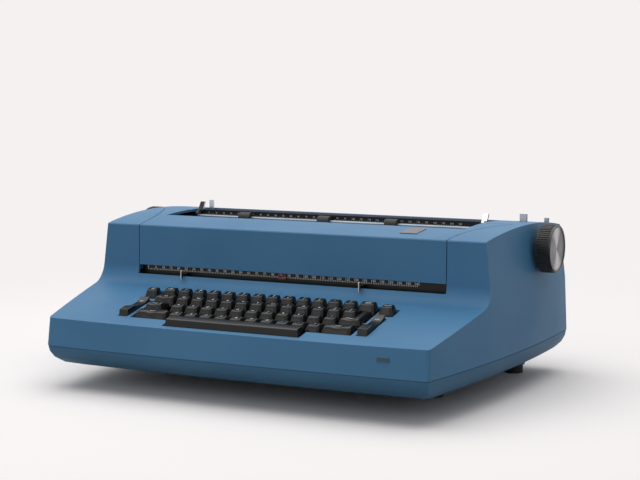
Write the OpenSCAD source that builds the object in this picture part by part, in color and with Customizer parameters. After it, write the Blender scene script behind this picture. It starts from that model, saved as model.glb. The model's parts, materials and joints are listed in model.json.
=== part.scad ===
// Electric typewriter with a type ball, as an assembly of separate pieces.
// Millimetres. X to the operator's right, Y to the rear, Z up.
// Inside the modules Y is counted from the front of the case; place() centres it.

/* [Case] */
// Width of the case at the seam, where it is widest
body_w = 517; // [500:1:535]
// Depth of the case
body_d = 375; // [368:1:390]
// Height of the seam between pan and shell above the table
seam_z = 49; // [46:0.5:52]
// Height of the deck's front edge above the table
deck_front_z = 80; // [78:0.5:82]
// Slope of the keyboard deck, degrees
deck_slope = 12.6; // [11.5:0.1:13.5]
// Front face of the tall housing, from the front of the case
tall_y = 137.6; // [136:0.2:139]
// Height of the housing's front top edge
top_edge_z = 175.2; // [173:0.2:178]
// Height of the crown of the top
crown_z = 183.8; // [181:0.2:187]
// Distance of the crown from the front of the case
crown_y = 248; // [240:1:256]
// Wall of the shell and the pan
wall = 3; // [2.5:0.1:3.5]
// Radius of the hollow between deck and housing
hollow_r = 22; // [16:1:26]
// Bow of a side over the first 200 mm from its widest place
side_bow = 12.85; // [10:0.5:15]
// Lean of a side at the level of the top edge
side_lean = 10; // [7:0.5:12]
// Bow of the front edge from its middle to the corners
front_bow = 4.5; // [3:0.2:8]
// Lean of the front fascia up to the deck
fascia_lean = 5.1; // [4:0.1:7]

/* [Lid and openings] */
// Width of the lid between its seams
lid_w = 392.8; // [391:0.2:394]
// Width of a seam gap
seam_gap = 1.1; // [0.9:0.1:1.3]
// Lower edge of the lid above the table
lid_low_z = 128; // [127:0.5:129]
// Lower lip of the scale slot above the table
slot_low_z = 117; // [116:0.5:118]
// Front edge of the platen opening
open_front_y = 195; // [193:0.5:198]
// Rear edge of the platen opening
open_rear_y = 304; // [303:0.5:306]
// Width of the platen opening
open_w = 390; // [388:0.5:391]
// Rear end of the lid beside the opening
lid_rear_y = 246; // [240:1:250]
// Outward sweep of the lid's seam over the top
seam_sweep = 29.5; // [24:0.5:31]
// Radius of the lid's hinge pins
lid_pin_r = 1.2; // [1:0.1:1.2]

/* [Platen and bail] */
// Radius of the platen
platen_r = 19; // [18.5:0.1:19.5]
// Length of the platen's rubber
platen_len = 372; // [360:1:374]
// Radius of the platen shaft
shaft_r = 6; // [5:0.5:7]
// Platen axis behind the front of the case
platen_y = 278; // [277:0.5:279]
// Platen axis above the table
platen_z = 155; // [154.5:0.25:156]
// Radius of a platen knob
knob_r = 27.5; // [25:0.5:28]
// Length of a platen knob
knob_len = 18.5; // [16:0.5:20]
// Radius of a feed roll
feed_r = 6; // [5.5:0.25:6]
// Radius of a bail roller
bail_roll_r = 7; // [6.5:0.25:7.25]
// Length of a bail roller
bail_roll_len = 15; // [12:1:18]

/* [Keyboard] */
// Distance between neighbouring keys
key_pitch = 19.05; // [18.95:0.05:19.1]
// Foot of a key cap, across
cap_w = 18; // [17.6:0.1:18.2]
// Foot of a key cap, front to back
cap_d = 17.4; // [17:0.1:17.8]
// Draw-in of a cap's sides up to its top
cap_taper = 2.7; // [2:0.1:3.2]
// Radius of the hollow in a cap's top
dish_r = 26; // [22:1:34]
// Depth of the hollow in a cap's top
dish_deep = 0.9; // [0.5:0.1:1.2]
// Height of a third-row cap's top above the table
key_top_z = 97.8; // [97:0.2:99]
// Rise of the key tops from front to back, degrees
key_rise = 16.4; // [15:0.2:18]
// Travel of the keys at the fulcrum, degrees
key_angle = 1.8; // [1.4:0.1:2]
// Thickness of a key lever
lever_t = 1.4; // [1.2:0.1:1.6]
// Depth of a key lever
lever_h = 8; // [6:0.5:8.5]
// Radius of the fulcrum rod
rod_r = 2.5; // [2:0.1:3]

/* [Running parts] */
// Radial clearance of a shaft in its bore
run_clear = 0.05; // [0.03:0.01:0.08]
// Clearance between pieces that pass each other
pass_clear = 0.4; // [0.3:0.1:0.5]
// Pitch radius of the drive shaft's gear
drive_gear_r = 30; // [29:1:31]
// Pitch radius of the print shaft's gear
print_gear_r = 23; // [22:1:24]
// Radius of the motor's pulley
motor_pulley_r = 10; // [9:0.5:11]
// Radius of the drive shaft's pulley
drive_pulley_r = 30; // [28:1:31]
// Radius of the print shaft
print_shaft_r = 5; // [4:0.5:6]
// Radius of the type ball
ball_r = 16.5; // [16:0.25:17]
// Place of the carrier along the writing line
carrier_x = -7.4; // [-12:0.1:0]

/* [Hidden] */
$fn = 48;
eps = 0.01;
far = 600;

// Case outline
deck_front_y = 8;
bow_ref = 200;
wide_y = body_d - 95;
edge_r = 3;
rear_edge_r = 10;
tall_lean = 1.2;
outline_steps = 9;
mid_z = (seam_z + top_edge_z) / 2;
inner_drop = 2;
rim_gap = 0.3;
rim_h = 5;
rim_t = 2;

// Pan levels as [height, inset at the sides, inset at the front]
pan_flat_z = 12;
pan_levels = [[seam_z - 1, 0.5, 0.5], [42, 1.5, 2], [35, 5, 7], [28, 12, 18], [21.5, 26, 42],
    [16.5, 48, 66], [13, 75, 90], [pan_flat_z, 80, 96]];
post_r = 8;
post_x = 150;
front_post_y = 45;
mid_post_y = tall_y + 22.4;
rear_post_y = body_d - 70;
front_post_z = 38;
post_z = 30;
screw_r = 2.5;
screw_hole_r = 3.2;
screw_head_r = 5;
screw_head_h = 2.5;
foot_x = [body_w / 2 - 84.5, body_w / 2 - 53.5];
foot_y = [158, body_d - 50];
foot_places = [for (s = [-1, 1], i = [0, 1]) [s * foot_x[i], foot_y[i]]];
foot_r = 11;
foot_z = 10;
foot_stem_r = 5;
foot_stem_h = 6;
foot_pad_r = 13;
foot_pad_h = 12;
ledge_in = 1.3;

// Power frame. end_x is just past the platen's ends
end_x = platen_len / 2 + 4;
plate_x = body_w / 2 - 36.5;
plate_t = 3;
plate_rear_y = body_d - 30;
beam_h = 8;
beam_w = 20;
rail_w = 8;
scale_y = tall_y + 9.4;
scale_t = 1.2;
scale_low_z = 113;
scale_top_z = 130.5;
rack_y = tall_y + 16.4;
rack_z = 108;
rack_w = 5;
rack_h = 4;
rail_y = tall_y + 38.4;
rail_z = 116;
rail_r = 4;
esc_y = rail_y + 1;
esc_z = 95;
esc_pitch = 4.233;

// Keyboard. Rows run from the figures, 0, down to the lowest row, 3.
row_y = [96.9, 96.9 - key_pitch, 96.9 - 2 * key_pitch, 96.9 - 3 * key_pitch];
row_shift = [0, 0.5, 0.75, 1.25];
row_keys = [12, 12, 11, 10];
first_key_x = -106.5;
ful_y = rail_y - 11;
ful_z = 88;
lever_slope = 0.093;
hub_r = rod_r + 2;
hub_w = 3.6;
post_half = 4;
cap_below = 4;
cap_foot_r = 11;
cap_top_r = 7.6;
key_edge = 135.2;
key_gap = 1;
kb_open = 137;
kb_front_y = 28;
kb_rear_y = 109;
bar_half = 83;
bar_front_y = 14;
bar_rear_y = 28.6;
bar_front_z = 89;
bar_rear_z = 90.5;
bar_shaft_y = 80;
bar_shaft_z = 58;
bar_shaft_r = 2.5;
bar_arm_x = 60;
lone_left_x = -148.5;
lone_right_x = 148.5;
lone_y = 94;
lone_open = 9.6;
rocker_x = 148;
rocker_w = 11.4;
rocker_front_y = 31;
rocker_rear_y = 77;
rocker_y = 54;
rocker_z = 81;
rocker_pin_r = 2;
rocker_rise = 6.6;
kb_plate_z = 46;
kb_plate_t = 2.5;
kb_side_x = 158;
kb_inner_x = 139.5;
comb_y = 118;
comb_t = 3;

// Running parts
print_y = rail_y + 29;
drive_y = print_y + 10;
drive_z = 62;
print_z = drive_z + sqrt(pow(drive_gear_r + print_gear_r, 2) - 100);
gear_x = 207;
gear_w = 8;
gear_m = 1;
motor_y = body_d - 77;
motor_z = 76;
motor_r = 34;
motor_x0 = 72;
motor_x1 = 165;
belt_x = 58;
belt_w = 8;
belt_t = 1.6;
belt_gap = 0.3;
drive_shaft_r = 5;
element_gap = 8;
element_y = platen_y - platen_r - element_gap - ball_r;
feed_angle = 40;
feed_y = (platen_r + feed_r + 0.3) * sin(feed_angle);
feed_z = (platen_r + feed_r + 0.3) * cos(feed_angle);
feed_shaft_r = 2.5;
sleeve_half = platen_len / 2 - 4;
bail_angle = 130;
bail_y = platen_y + (platen_r + bail_roll_r + 0.3) * cos(bail_angle);
bail_z = platen_z + (platen_r + bail_roll_r + 0.3) * sin(bail_angle);
bail_rod_r = 2;
bail_x = end_x;
bail_pivot_y = platen_y - 16;
bail_pivot_z = platen_z - 5;
bail_pin_r = 3;
bail_roll_x = [-0.328, -0.035, 0.204] * platen_len;
lever_pin_r = 3;
lever_y = platen_y + 20;
space_y = body_d - 42;
back_lever_z = platen_z - 5;
space_z = back_lever_z - 22;
release_top_z = crown_z + 7.2;
copy_top_z = crown_z + 8.2;
space_top_z = crown_z + 0.2;
release_tab = [plate_x - 1, plate_x + 7.6];
copy_tab = [-end_x - 6.4, -end_x - 0.6];
space_tab = [plate_x + 16.4, plate_x + 21.6];
stop_blade_t = 1.3;
pointer_half = 4.6;
pointer_rim = 1.5;
stop_left_x = -133.6;
stop_right_x = 96.6;

function deck_z(y) = deck_front_z + (y - deck_front_y) * tan(deck_slope);
function top_z(y) =
    crown_z - pow(y - crown_y, 2) * (crown_z - top_edge_z) / pow(crown_y - tall_y - tall_lean, 2);
function side_x(y, lean) = body_w / 2 - side_bow * pow((y - wide_y) / bow_ref, 2) - lean;
function key_x(row, i) = first_key_x + (i + row_shift[row]) * key_pitch;
function key_top(y) = key_top_z + (y - row_y[2]) * tan(key_rise);
function lever_z(y) = ful_z - (ful_y - y) * lever_slope;
function seam_x(y) = lid_w / 2 + (y > tall_y ? seam_sweep * pow((y - tall_y) / 100, 1.8) : 0);

module place() translate([0, -body_d / 2, 0]) children();
module along_x(x0, x1) translate([x0, 0, 0]) rotate([90, 0, 90]) linear_extrude(x1 - x0) children();
module along_y(y0, y1) translate([0, y1, 0]) rotate([90, 0, 0]) linear_extrude(y1 - y0) children();
module rod(x0, x1, y, z, r, fn = 48)
    translate([x0, y, z]) rotate([0, 90, 0]) cylinder(h = x1 - x0, r = r, $fn = fn);
module box(lo, hi) translate(lo) cube(hi - lo);
module both_sides() for (s = [0, 1]) mirror([s, 0, 0]) children();

// Plan of the case at one level, with bowed sides and front
function half_outline(lean, in_side, y_front, bow, in_rear) =
    let (y_rear = body_d - in_rear,
        y_corner = y_front + bow,
        x_front = side_x(y_corner, lean) - in_side,
        x_rear = side_x(y_rear, lean) - in_side,
        y_a = y_corner + edge_r,
        y_b = y_rear - rear_edge_r)
    concat(
        [for (i = [0 : outline_steps])
            let (x = (x_front - edge_r) * i / outline_steps) [x, y_front + bow * pow(x / x_front, 2)]],
        [[x_front - edge_r * 0.3, y_corner + edge_r * 0.3]],
        [for (i = [0 : outline_steps])
            let (y = y_a + (y_b - y_a) * i / outline_steps) [side_x(y, lean) - in_side, y]],
        [[x_rear - rear_edge_r * 0.3, y_rear - rear_edge_r * 0.3], [x_rear - rear_edge_r, y_rear]]);
function mirrored(p) = [for (i = [len(p) - 1 : -1 : 1]) [-p[i][0], p[i][1]]];
function outline(lean, in_side, y_front, bow, in_rear) =
    let (h = half_outline(lean, in_side, y_front, bow, in_rear)) concat(h, mirrored(h));
module slab(z, lean, in_side, y_front, bow, in_rear)
    translate([0, 0, z]) linear_extrude(eps) polygon(outline(lean, in_side, y_front, bow, in_rear));

// Side profile of the shell, drawn in by t
function profile(t) =
    let (hollow_y = tall_y - hollow_r,
        hollow_z = deck_z(hollow_y) + hollow_r / cos(deck_slope),
        r = hollow_r + t,
        drop = t / cos(deck_slope))
    concat(
        [[-20, -20], [-20, deck_z(-20) - drop]],
        [for (a = [-90 + deck_slope : 12.9 : 0.1]) [hollow_y + r * cos(a), hollow_z + r * sin(a)]],
        [[tall_y + tall_lean + t, top_edge_z - 1.2 - t], [tall_y + tall_lean + 1 + t, top_edge_z - t]],
        [for (y = [tall_y + 10 : 16 : body_d - 20]) [y, top_z(y) - t]],
        [[body_d - 9 - t, top_z(body_d - 9) - t], [body_d - 3 - t, top_z(body_d) - t - 3],
            [body_d - t, top_z(body_d) - t - 9], [body_d - t, -20]]);
module shell_form(t, low_z)
    intersection() {
        hull() {
            slab(low_z, 0, t, t, front_bow, t);
            slab(mid_z, side_lean * 0.27, t, t + fascia_lean * 2.03, front_bow * 0.7, t);
            slab(crown_z + 2, side_lean * 1.15, t, t + fascia_lean * 4.4, front_bow * 0.1, t);
        }
        along_x(-far / 2, far / 2) polygon(profile(t));
    }
module pan_form(t)
    hull() for (l = pan_levels)
        slab(l[0] + (l[0] < 40 ? t : t > 0 ? 2 : 0), 0, l[1] + t, l[2] + t, front_bow, l[1] * 0.8 + t);
// Plan of the lid, grown by g
module lid_plan(g)
    let (back = [for (i = [0 : 8]) tall_y + (lid_rear_y + g - tall_y) * i / 8])
    let (right = [for (y = concat([tall_y - 12], back)) [seam_x(y) + g, y]])
    polygon(concat(right, [[open_w / 2 - g, lid_rear_y + g], [open_w / 2 - g, open_front_y + g],
        [-open_w / 2 + g, open_front_y + g], [-open_w / 2 + g, lid_rear_y + g]],
        [for (i = [len(right) - 1 : -1 : 0]) [-right[i][0], right[i][1]]]));

module at_feet() for (p = foot_places) translate([p[0], p[1], 0]) children();
module at_screws()
    for (x = [-post_x, post_x], y = [mid_post_y, rear_post_y]) translate([x, y, 0]) children();
// Upright ring that follows the wall, from in_out to in_in inside the outline
module wall_ring(z0, z1, in_out, in_in)
    difference() {
        translate([0, 0, z0]) linear_extrude(z1 - z0)
            polygon(outline(0, in_out, in_out, front_bow, in_out));
        translate([0, 0, z0 - 1]) linear_extrude(z1 - z0 + 2)
            polygon(outline(0, in_in, in_in, front_bow, in_in));
    }

module bottom_pan() color([0.25, 0.38, 0.49]) place() {
    difference() {
        union() {
            difference() {
                pan_form(0);
                pan_form(wall);
            }
            at_feet() translate([0, 0, foot_z]) cylinder(h = foot_pad_h, r = foot_pad_r);
            at_screws() translate([0, 0, pan_flat_z]) cylinder(h = post_z - pan_flat_z, r = post_r);
            for (x = [-post_x, post_x]) translate([x, front_post_y, pan_flat_z + post_r + 4])
                cylinder(h = front_post_z - pan_flat_z - post_r - 4, r = post_r);
            wall_ring(seam_z - 4, seam_z, ledge_in, wall + rim_gap + rim_t);
            wall_ring(seam_z - 4, seam_z + rim_h, wall + rim_gap + 1, wall + rim_gap + rim_t + 1);
        }
        at_screws() translate([0, 0, -eps]) cylinder(h = post_z + 1, r = screw_hole_r);
        at_screws() translate([0, 0, -eps])
            cylinder(h = pan_flat_z + screw_head_h + eps, r = screw_head_r + 0.3);
        at_feet() cylinder(h = foot_z + foot_stem_h, r = foot_stem_r);
    }
}

module keyboard_cuts() {
    box([-kb_open, kb_front_y, 0], [kb_open, kb_rear_y, far]);
    box([-bar_half - 2, bar_front_y - 2, 0], [bar_half + 2, kb_front_y + 1, far]);
    box([lone_left_x - lone_open, lone_y - 10, 0], [-kb_open + 1, kb_rear_y, far]);
    box([lone_right_x - lone_open, lone_y - 10, 0], [lone_right_x + lone_open, lone_y + 11, far]);
    for (x = [-rocker_x, rocker_x])
        box([x - rocker_w / 2 - 0.8, rocker_front_y - 2, 0],
            [x + rocker_w / 2 + 0.8, rocker_rear_y + 2, far]);
}
module lever_slot(tab, y)
    box([tab[0] - 1.6, y - 11, top_edge_z - 20], [tab[1] + 1.6, y + 9, far]);
module top_shell() color([0.31, 0.5, 0.68]) place() {
    difference() {
        union() {
            difference() {
                shell_form(0, seam_z);
                shell_form(wall, seam_z - inner_drop);
                translate([0, 0, lid_low_z - seam_gap]) linear_extrude(far) lid_plan(seam_gap);
                box([-open_w / 2, open_front_y - 1, lid_low_z], [open_w / 2, open_rear_y, far]);
                box([-lid_w / 2 - seam_gap, tall_y - 8, slot_low_z],
                    [lid_w / 2 + seam_gap, tall_y + 20, lid_low_z]);
                intersection() {
                    keyboard_cuts();
                    box([-far / 2, 0, seam_z + 10], [far / 2, kb_rear_y + 2, far]);
                }
            }
            both_sides() box([lid_w / 2 + seam_gap + pass_clear, tall_y + tall_lean - 0.4, lid_low_z - 6],
                [lid_w / 2 + seam_gap + 9, tall_y + 9, lid_low_z + 9]);
        }
        rod(-far / 2, far / 2, platen_y, platen_z, shaft_r + 2);
        both_sides() rod(lid_w / 2, lid_w / 2 + 12, tall_y + 2, lid_low_z + 2, lid_pin_r + run_clear);
        lever_slot(release_tab, lever_y);
        lever_slot(copy_tab, lever_y);
        lever_slot(space_tab, space_y);
        translate([bushing_x, body_d + 1, bushing_z]) rotate([90, 0, 0])
            cylinder(h = wall + 3, r = bushing_r);
    }
    intersection() {
        difference() {
            shell_form(-0.7, seam_z);
            shell_form(0.5, seam_z);
        }
        box([177.5, -5, 64.8], [191.5, 20, 69.2]);
    }
}

module lid() color([0.31, 0.5, 0.68]) place() {
    intersection() {
        difference() {
            shell_form(0, seam_z);
            shell_form(wall, seam_z - inner_drop);
        }
        translate([0, 0, lid_low_z]) linear_extrude(far) lid_plan(0);
    }
    both_sides() rod(lid_w / 2 - 6, lid_w / 2 + 8, tall_y + 2, lid_low_z + 2, lid_pin_r);
    both_sides() box([lid_w / 2 - 12, tall_y + 1, lid_low_z], [lid_w / 2 - 1, tall_y + 4.2, lid_low_z + 14]);
}

// Sloping plate behind the platen that carries the sheet, with an arm to each side plate
table_half = platen_len / 2 + 1;
module paper_table() color([0.2, 0.33, 0.45]) place() {
    y0 = platen_y + platen_r + 1.2;
    along_x(-table_half, table_half)
        polygon([[y0, platen_z - 2.5], [y0, platen_z + 4], [open_rear_y - 1.4, top_z(open_rear_y) - 1.4],
            [open_rear_y - 0.4, top_z(open_rear_y)], [open_rear_y - 0.2, top_z(open_rear_y) - wall - 1],
            [y0 + 3.2, platen_z + 2], [y0 + 3.2, platen_z - 2.5]]);
    both_sides() box([table_half - 9, y0 + 3, platen_z + 3], [table_half, y0 + 14, platen_z + 8]);
    both_sides() box([table_half - 9, y0 + 8, platen_z + 3], [plate_x, y0 + 14, platen_z + 8]);
}

badge_y = 171;
module lid_badge() color([0.55, 0.52, 0.48]) place()
    translate([143, badge_y, top_z(badge_y)])
        rotate([atan((top_z(badge_y + 2) - top_z(badge_y - 2)) / 4), 0, 0])
            box([-10.5, -13.5, 0.15], [10.5, 13.5, 0.75]);

module rubber_feet() color([0.1, 0.1, 0.11]) place()
    at_feet() {
        cylinder(h = foot_z, r = foot_r);
        cylinder(h = foot_z + foot_stem_h, r = foot_stem_r);
    }

module case_screws() color([0.6, 0.6, 0.62]) place()
    at_screws() translate([0, 0, pan_flat_z]) difference() {
        union() {
            cylinder(h = screw_head_h, r = screw_head_r);
            cylinder(h = post_z + beam_h - pan_flat_z - 2, r = screw_r);
        }
        translate([-screw_head_r, -0.6, -1]) cube([2 * screw_head_r, 1.2, 2]);
    }

bushing_x = -180;
bushing_z = 64;
bushing_r = 7;
module cord_bushing() color([0.1, 0.1, 0.1]) place()
    translate([bushing_x, body_d, bushing_z]) rotate([90, 0, 0]) difference() {
        union() {
            cylinder(h = wall + 6, r = bushing_r);
            translate([0, 0, wall + 0.1]) cylinder(h = 3, r = bushing_r + 3);
        }
        translate([0, 0, -1]) cylinder(h = wall + 8, r = 3.6);
    }

module power_frame() color([0.55, 0.56, 0.58]) place() {
    difference() {
        union() {
            both_sides() along_x(plate_x, plate_x + plate_t)
                polygon([[scale_y + 1, post_z], [plate_rear_y, post_z], [plate_rear_y, 140],
                    [plate_rear_y - 5, 160], [platen_y + 34, platen_z + 11],
                    [platen_y - 16, platen_z + 13], [platen_y - 38, platen_z - 9],
                    [platen_y - 88, platen_z - 17], [scale_y + 13, scale_top_z + 1.5],
                    [scale_y - 3, scale_top_z + 1.5], [scale_y - 3, 100], [scale_y + 1, 90]]);
            box([-plate_x - plate_t, mid_post_y - beam_w / 2, post_z],
                [plate_x + plate_t, mid_post_y + beam_w / 2, post_z + beam_h]);
            box([-plate_x - plate_t, rear_post_y - beam_w / 2, post_z],
                [plate_x + plate_t, rear_post_y + beam_w / 2, post_z + beam_h]);
            both_sides() box([post_x - rail_w / 2, front_post_y - 15, front_post_z],
                [post_x + rail_w / 2, mid_post_y + beam_w / 2, kb_plate_z]);
            box([motor_x0 - 6, mid_post_y + beam_w / 2 - 1, post_z + beam_h - wall],
                [motor_x1 + 6, rear_post_y + beam_w / 2 + 11, post_z + beam_h]);
        }
        rod(-far / 2, far / 2, platen_y, platen_z, shaft_r + run_clear);
        rod(-far / 2, far / 2, drive_y, drive_z, drive_shaft_r + run_clear);
        rod(-far / 2, far / 2, print_y, print_z, print_shaft_r + run_clear);
        rod(-far / 2, far / 2, bail_pivot_y, bail_pivot_z, bail_pin_r + run_clear);
        for (s = [-1, 1])
            rod(-far / 2, far / 2, platen_y + s * feed_y, platen_z - feed_z, feed_shaft_r + run_clear);
        at_screws() translate([0, 0, post_z - 1]) cylinder(h = beam_h + 2, r = screw_r);
        rod(-far / 2, far / 2, rail_y, rail_z, rail_r);
        rod(-far / 2, far / 2, lever_y, back_lever_z, lever_pin_r + run_clear);
        rod(plate_x - 1, far / 2, space_y, space_z, lever_pin_r + run_clear);
    }
}

module motor() color([0.25, 0.26, 0.28]) place() {
    difference() {
        union() {
            rod(motor_x0, motor_x1, motor_y, motor_z, motor_r);
            rod(motor_x0 - 5, motor_x0 + 1, motor_y, motor_z, 14);
            rod(motor_x1 - 1, motor_x1 + 4, motor_y, motor_z, 14);
            for (x = [motor_x0 + 8, motor_x1 - 18])
                box([x, motor_y - 26, post_z + beam_h], [x + 10, motor_y + 26, motor_z - 20]);
        }
        rod(motor_x0 - 6, motor_x1 - 2, motor_y, motor_z, 4 + run_clear);
        for (i = [0 : 7])
            translate([motor_x0 + 14 + i * 9, motor_y - 8, motor_z + motor_r - 3]) cube([3, 16, 6]);
    }
}

module motor_pulley() color([0.7, 0.7, 0.72]) place() {
    rod(belt_x - belt_w / 2 - 4, motor_x1 - 6, motor_y, motor_z, 4);
    rod(belt_x - belt_w / 2, belt_x + belt_w / 2, motor_y, motor_z, motor_pulley_r);
    for (s = [-1, 1])
        rod(belt_x + s * (belt_w / 2 + 1.3) - 0.8, belt_x + s * (belt_w / 2 + 1.3) + 0.8, motor_y, motor_z,
            motor_pulley_r + 2.5);
}

module belt_outline(grow)
    hull() {
        translate([motor_y, motor_z]) circle(r = motor_pulley_r + grow, $fn = 40);
        translate([drive_y, drive_z]) circle(r = drive_pulley_r + grow, $fn = 64);
    }
module drive_belt() color([0.08, 0.08, 0.08]) place()
    along_x(belt_x - belt_w / 2 + 0.5, belt_x + belt_w / 2 - 0.5) difference() {
        belt_outline(belt_gap + belt_t);
        belt_outline(belt_gap);
    }

function gear_points(n, m) =
    let (p = 360 / n, r = n * m / 2)
    [for (i = [0 : n - 1], k = [0 : 3])
        let (a = i * p + [-0.27, -0.13, 0.13, 0.27][k] * p)
        let (q = (k == 1 || k == 2) ? r + 0.8 * m : r - 1.2 * m)
        [q * cos(a), q * sin(a)]];
mesh_angle = atan2(print_z - drive_z, print_y - drive_y);
module drive_shaft() color([0.62, 0.62, 0.64]) place() {
    rod(-plate_x - plate_t - 4, plate_x + plate_t + 4, drive_y, drive_z, drive_shaft_r);
    rod(belt_x - belt_w / 2, belt_x + belt_w / 2, drive_y, drive_z, drive_pulley_r);
    for (s = [-1, 1])
        rod(belt_x + s * (belt_w / 2 + 1.3) - 0.8, belt_x + s * (belt_w / 2 + 1.3) + 0.8, drive_y, drive_z,
            drive_pulley_r + 2.5);
    translate([0, drive_y, drive_z]) along_x(gear_x - gear_w / 2, gear_x + gear_w / 2)
        rotate(mesh_angle) polygon(gear_points(2 * drive_gear_r / gear_m, gear_m));
}

module print_shaft() color([0.72, 0.72, 0.74]) place() {
    rod(-plate_x - plate_t - 4, plate_x + plate_t + 4, print_y, print_z, print_shaft_r);
    translate([0, print_y, print_z]) along_x(gear_x - gear_w / 2, gear_x + gear_w / 2)
        rotate(mesh_angle + 180 + 90 * gear_m / print_gear_r)
            polygon(gear_points(2 * print_gear_r / gear_m, gear_m));
}

// Round rail in front and the toothed escapement rack below it
module carrier_rail() color([0.68, 0.68, 0.7]) place() {
    rod(-plate_x - plate_t, plate_x + plate_t, rail_y, rail_z, rail_r);
    teeth = floor(2 * (plate_x - 4) / esc_pitch);
    translate([0, esc_y, 0]) rotate([90, 0, 0]) linear_extrude(3)
        polygon(concat([[-plate_x, esc_z - 8], [plate_x, esc_z - 8], [plate_x, esc_z]],
            [for (i = [teeth : -1 : 0], k = [1, 0])
                [(i - teeth / 2) * esc_pitch + k * esc_pitch * 0.4, k == 1 ? esc_z - 2.5 : esc_z]],
            [[-plate_x, esc_z]]));
}

module carrier_place() translate([carrier_x, 0, 0]) place() children();
carrier_half = 30;
carrier_low_z = print_z - 11;
tilt_z = platen_z - ball_r - 8.6;
tilt_r = 2;
module carrier() color([0.5, 0.5, 0.52]) carrier_place() {
    difference() {
        union() {
            both_sides() along_x(carrier_half - 4, carrier_half)
                polygon([[rail_y - 8, rail_z - 6], [print_y + 10, carrier_low_z],
                    [element_y + 7, carrier_low_z + 8],
                    [element_y + 7, tilt_z + 6], [element_y - 7, tilt_z + 6], [element_y - 10, rail_z + 18],
                    [rail_y - 8, rail_z + 18]]);
            box([-carrier_half + 1, rail_y - 8, rail_z - 6], [carrier_half - 1, print_y + 4, rail_z - 1]);
            rod(-carrier_half + 1, carrier_half - 1, rail_y, rail_z, rail_r + 3.5);
            rod(-carrier_half + 1, carrier_half - 1, print_y, print_z, print_shaft_r + 4);
            box([-1.5, esc_y - 3, esc_z + 0.5], [1.5, esc_y + 4, rail_z - 5]);
        }
        rod(-carrier_half - 1, carrier_half + 1, rail_y, rail_z, rail_r + run_clear);
        rod(-carrier_half - 1, carrier_half + 1, print_y, print_z, print_shaft_r + run_clear);
        rod(-carrier_half - 1, carrier_half + 1, element_y, tilt_z, tilt_r + run_clear);
    }
}

// Red blade in front of the scale, carried over the scale's top edge
module carrier_pointer() color([0.7, 0.08, 0.1]) carrier_place() {
    y0 = scale_y - 3.4;
    y1 = rail_y - 8;
    z0 = scale_low_z + 7.2;
    z1 = scale_top_z + 2.2;
    box([-2.6, y0, z1 - 1.2], [2.6, y1, z1]);
    difference() {
        box([-pointer_half, y0, z0], [pointer_half, y0 + 1, z1]);
        box([-pointer_half + pointer_rim, y0 - 1, z0 + pointer_rim],
            [pointer_half - pointer_rim, y0 + 2, lid_low_z - pointer_rim]);
    }
    box([-2.6, y1 - 1.4, rail_z - 6], [2.6, y1, z1]);
}

module tilt_rocker() color([0.66, 0.66, 0.68]) carrier_place()
    difference() {
        union() {
            rod(-carrier_half + 4.4, carrier_half - 4.4, element_y, tilt_z, 3);
            rod(-carrier_half, carrier_half, element_y, tilt_z, tilt_r);
            translate([0, element_y, tilt_z - 3]) cylinder(h = 7, r = 9);
            translate([0, element_y, tilt_z - 3]) cylinder(h = 12, r = 4);
        }
        translate([0, element_y, tilt_z + 1]) cylinder(h = 30, r = 2 + run_clear);
    }

module ball_teeth()
    for (level = [-1, 0, 1]) for (i = [0 : 10])
        translate([0, 0, level * 5.2]) rotate([0, 0, i * 360 / 11])
            translate([sqrt(ball_r * ball_r - level * level * 27) - 0.5, -1.2, -1.4]) cube([1.1, 2.4, 2.8]);
module type_element() color([0.62, 0.63, 0.65]) carrier_place() translate([0, element_y, platen_z]) {
    difference() {
        intersection() {
            sphere(r = ball_r, $fn = 64);
            translate([0, 0, -ball_r]) cylinder(h = 1.62 * ball_r, r = ball_r + 1);
        }
        translate([0, 0, -ball_r - 1]) cylinder(h = ball_r - 4, r = 11);
    }
    translate([0, 0, -ball_r - 7]) cylinder(h = ball_r + 8, r = 2);
    ball_teeth();
    translate([0, 0, 0.6 * ball_r]) cylinder(h = 2.4, r = 5);
    translate([-1.5, -2, 0.6 * ball_r + 2]) cube([3, 11, 1.6]);
}

module ribbon_cartridge() color([0.12, 0.12, 0.13]) carrier_place() {
    z0 = rail_z + 18;
    y1 = element_y - ball_r - 5;
    difference() {
        box([-carrier_half, rail_y - 20, z0], [carrier_half, y1, z0 + 14]);
        translate([0, rail_y + 4, z0 + 11]) cylinder(h = 8, r = 12);
    }
    both_sides() box([carrier_half - 3, y1 - 1, z0 + 8], [carrier_half, element_y + 8, z0 + 14]);
}

// Rubber sleeve on a through shaft
module platen() color([0.07, 0.07, 0.08]) place() {
    difference() {
        rod(-sleeve_half, sleeve_half, platen_y, platen_z, platen_r, 96);
        rod(-platen_len, platen_len, platen_y, platen_z, shaft_r + run_clear);
    }
    rod(-knob_outer_x + 2, knob_outer_x - 2, platen_y, platen_z, shaft_r);
}

knob_outer_x = side_x(platen_y, 0) + 15;
knob_ribs = 60;
module knob_profile()
    polygon([for (i = [0 : knob_ribs - 1], k = [0 : 3])
        let (a = (i + [0, 0.3, 0.5, 0.8][k]) * 360 / knob_ribs, q = k < 2 ? knob_r : knob_r - 0.9)
        [q * cos(a), q * sin(a)]]);
module platen_knobs() color([0.06, 0.06, 0.06]) place()
    both_sides() difference() {
        union() {
            translate([0, platen_y, platen_z])
                along_x(knob_outer_x - knob_len + 2, knob_outer_x - 3) knob_profile();
            rod(knob_outer_x - 3 - eps, knob_outer_x, platen_y, platen_z, knob_r - 0.9, 96);
            rod(knob_outer_x - knob_len, knob_outer_x - knob_len + 2 + eps,
                platen_y, platen_z, knob_r - 4, 96);
        }
        rod(knob_outer_x - 2, knob_outer_x + 1, platen_y, platen_z, knob_r - 3, 96);
        rod(knob_outer_x - knob_len - 1, knob_outer_x - 2 + eps, platen_y, platen_z, shaft_r);
    }

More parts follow.
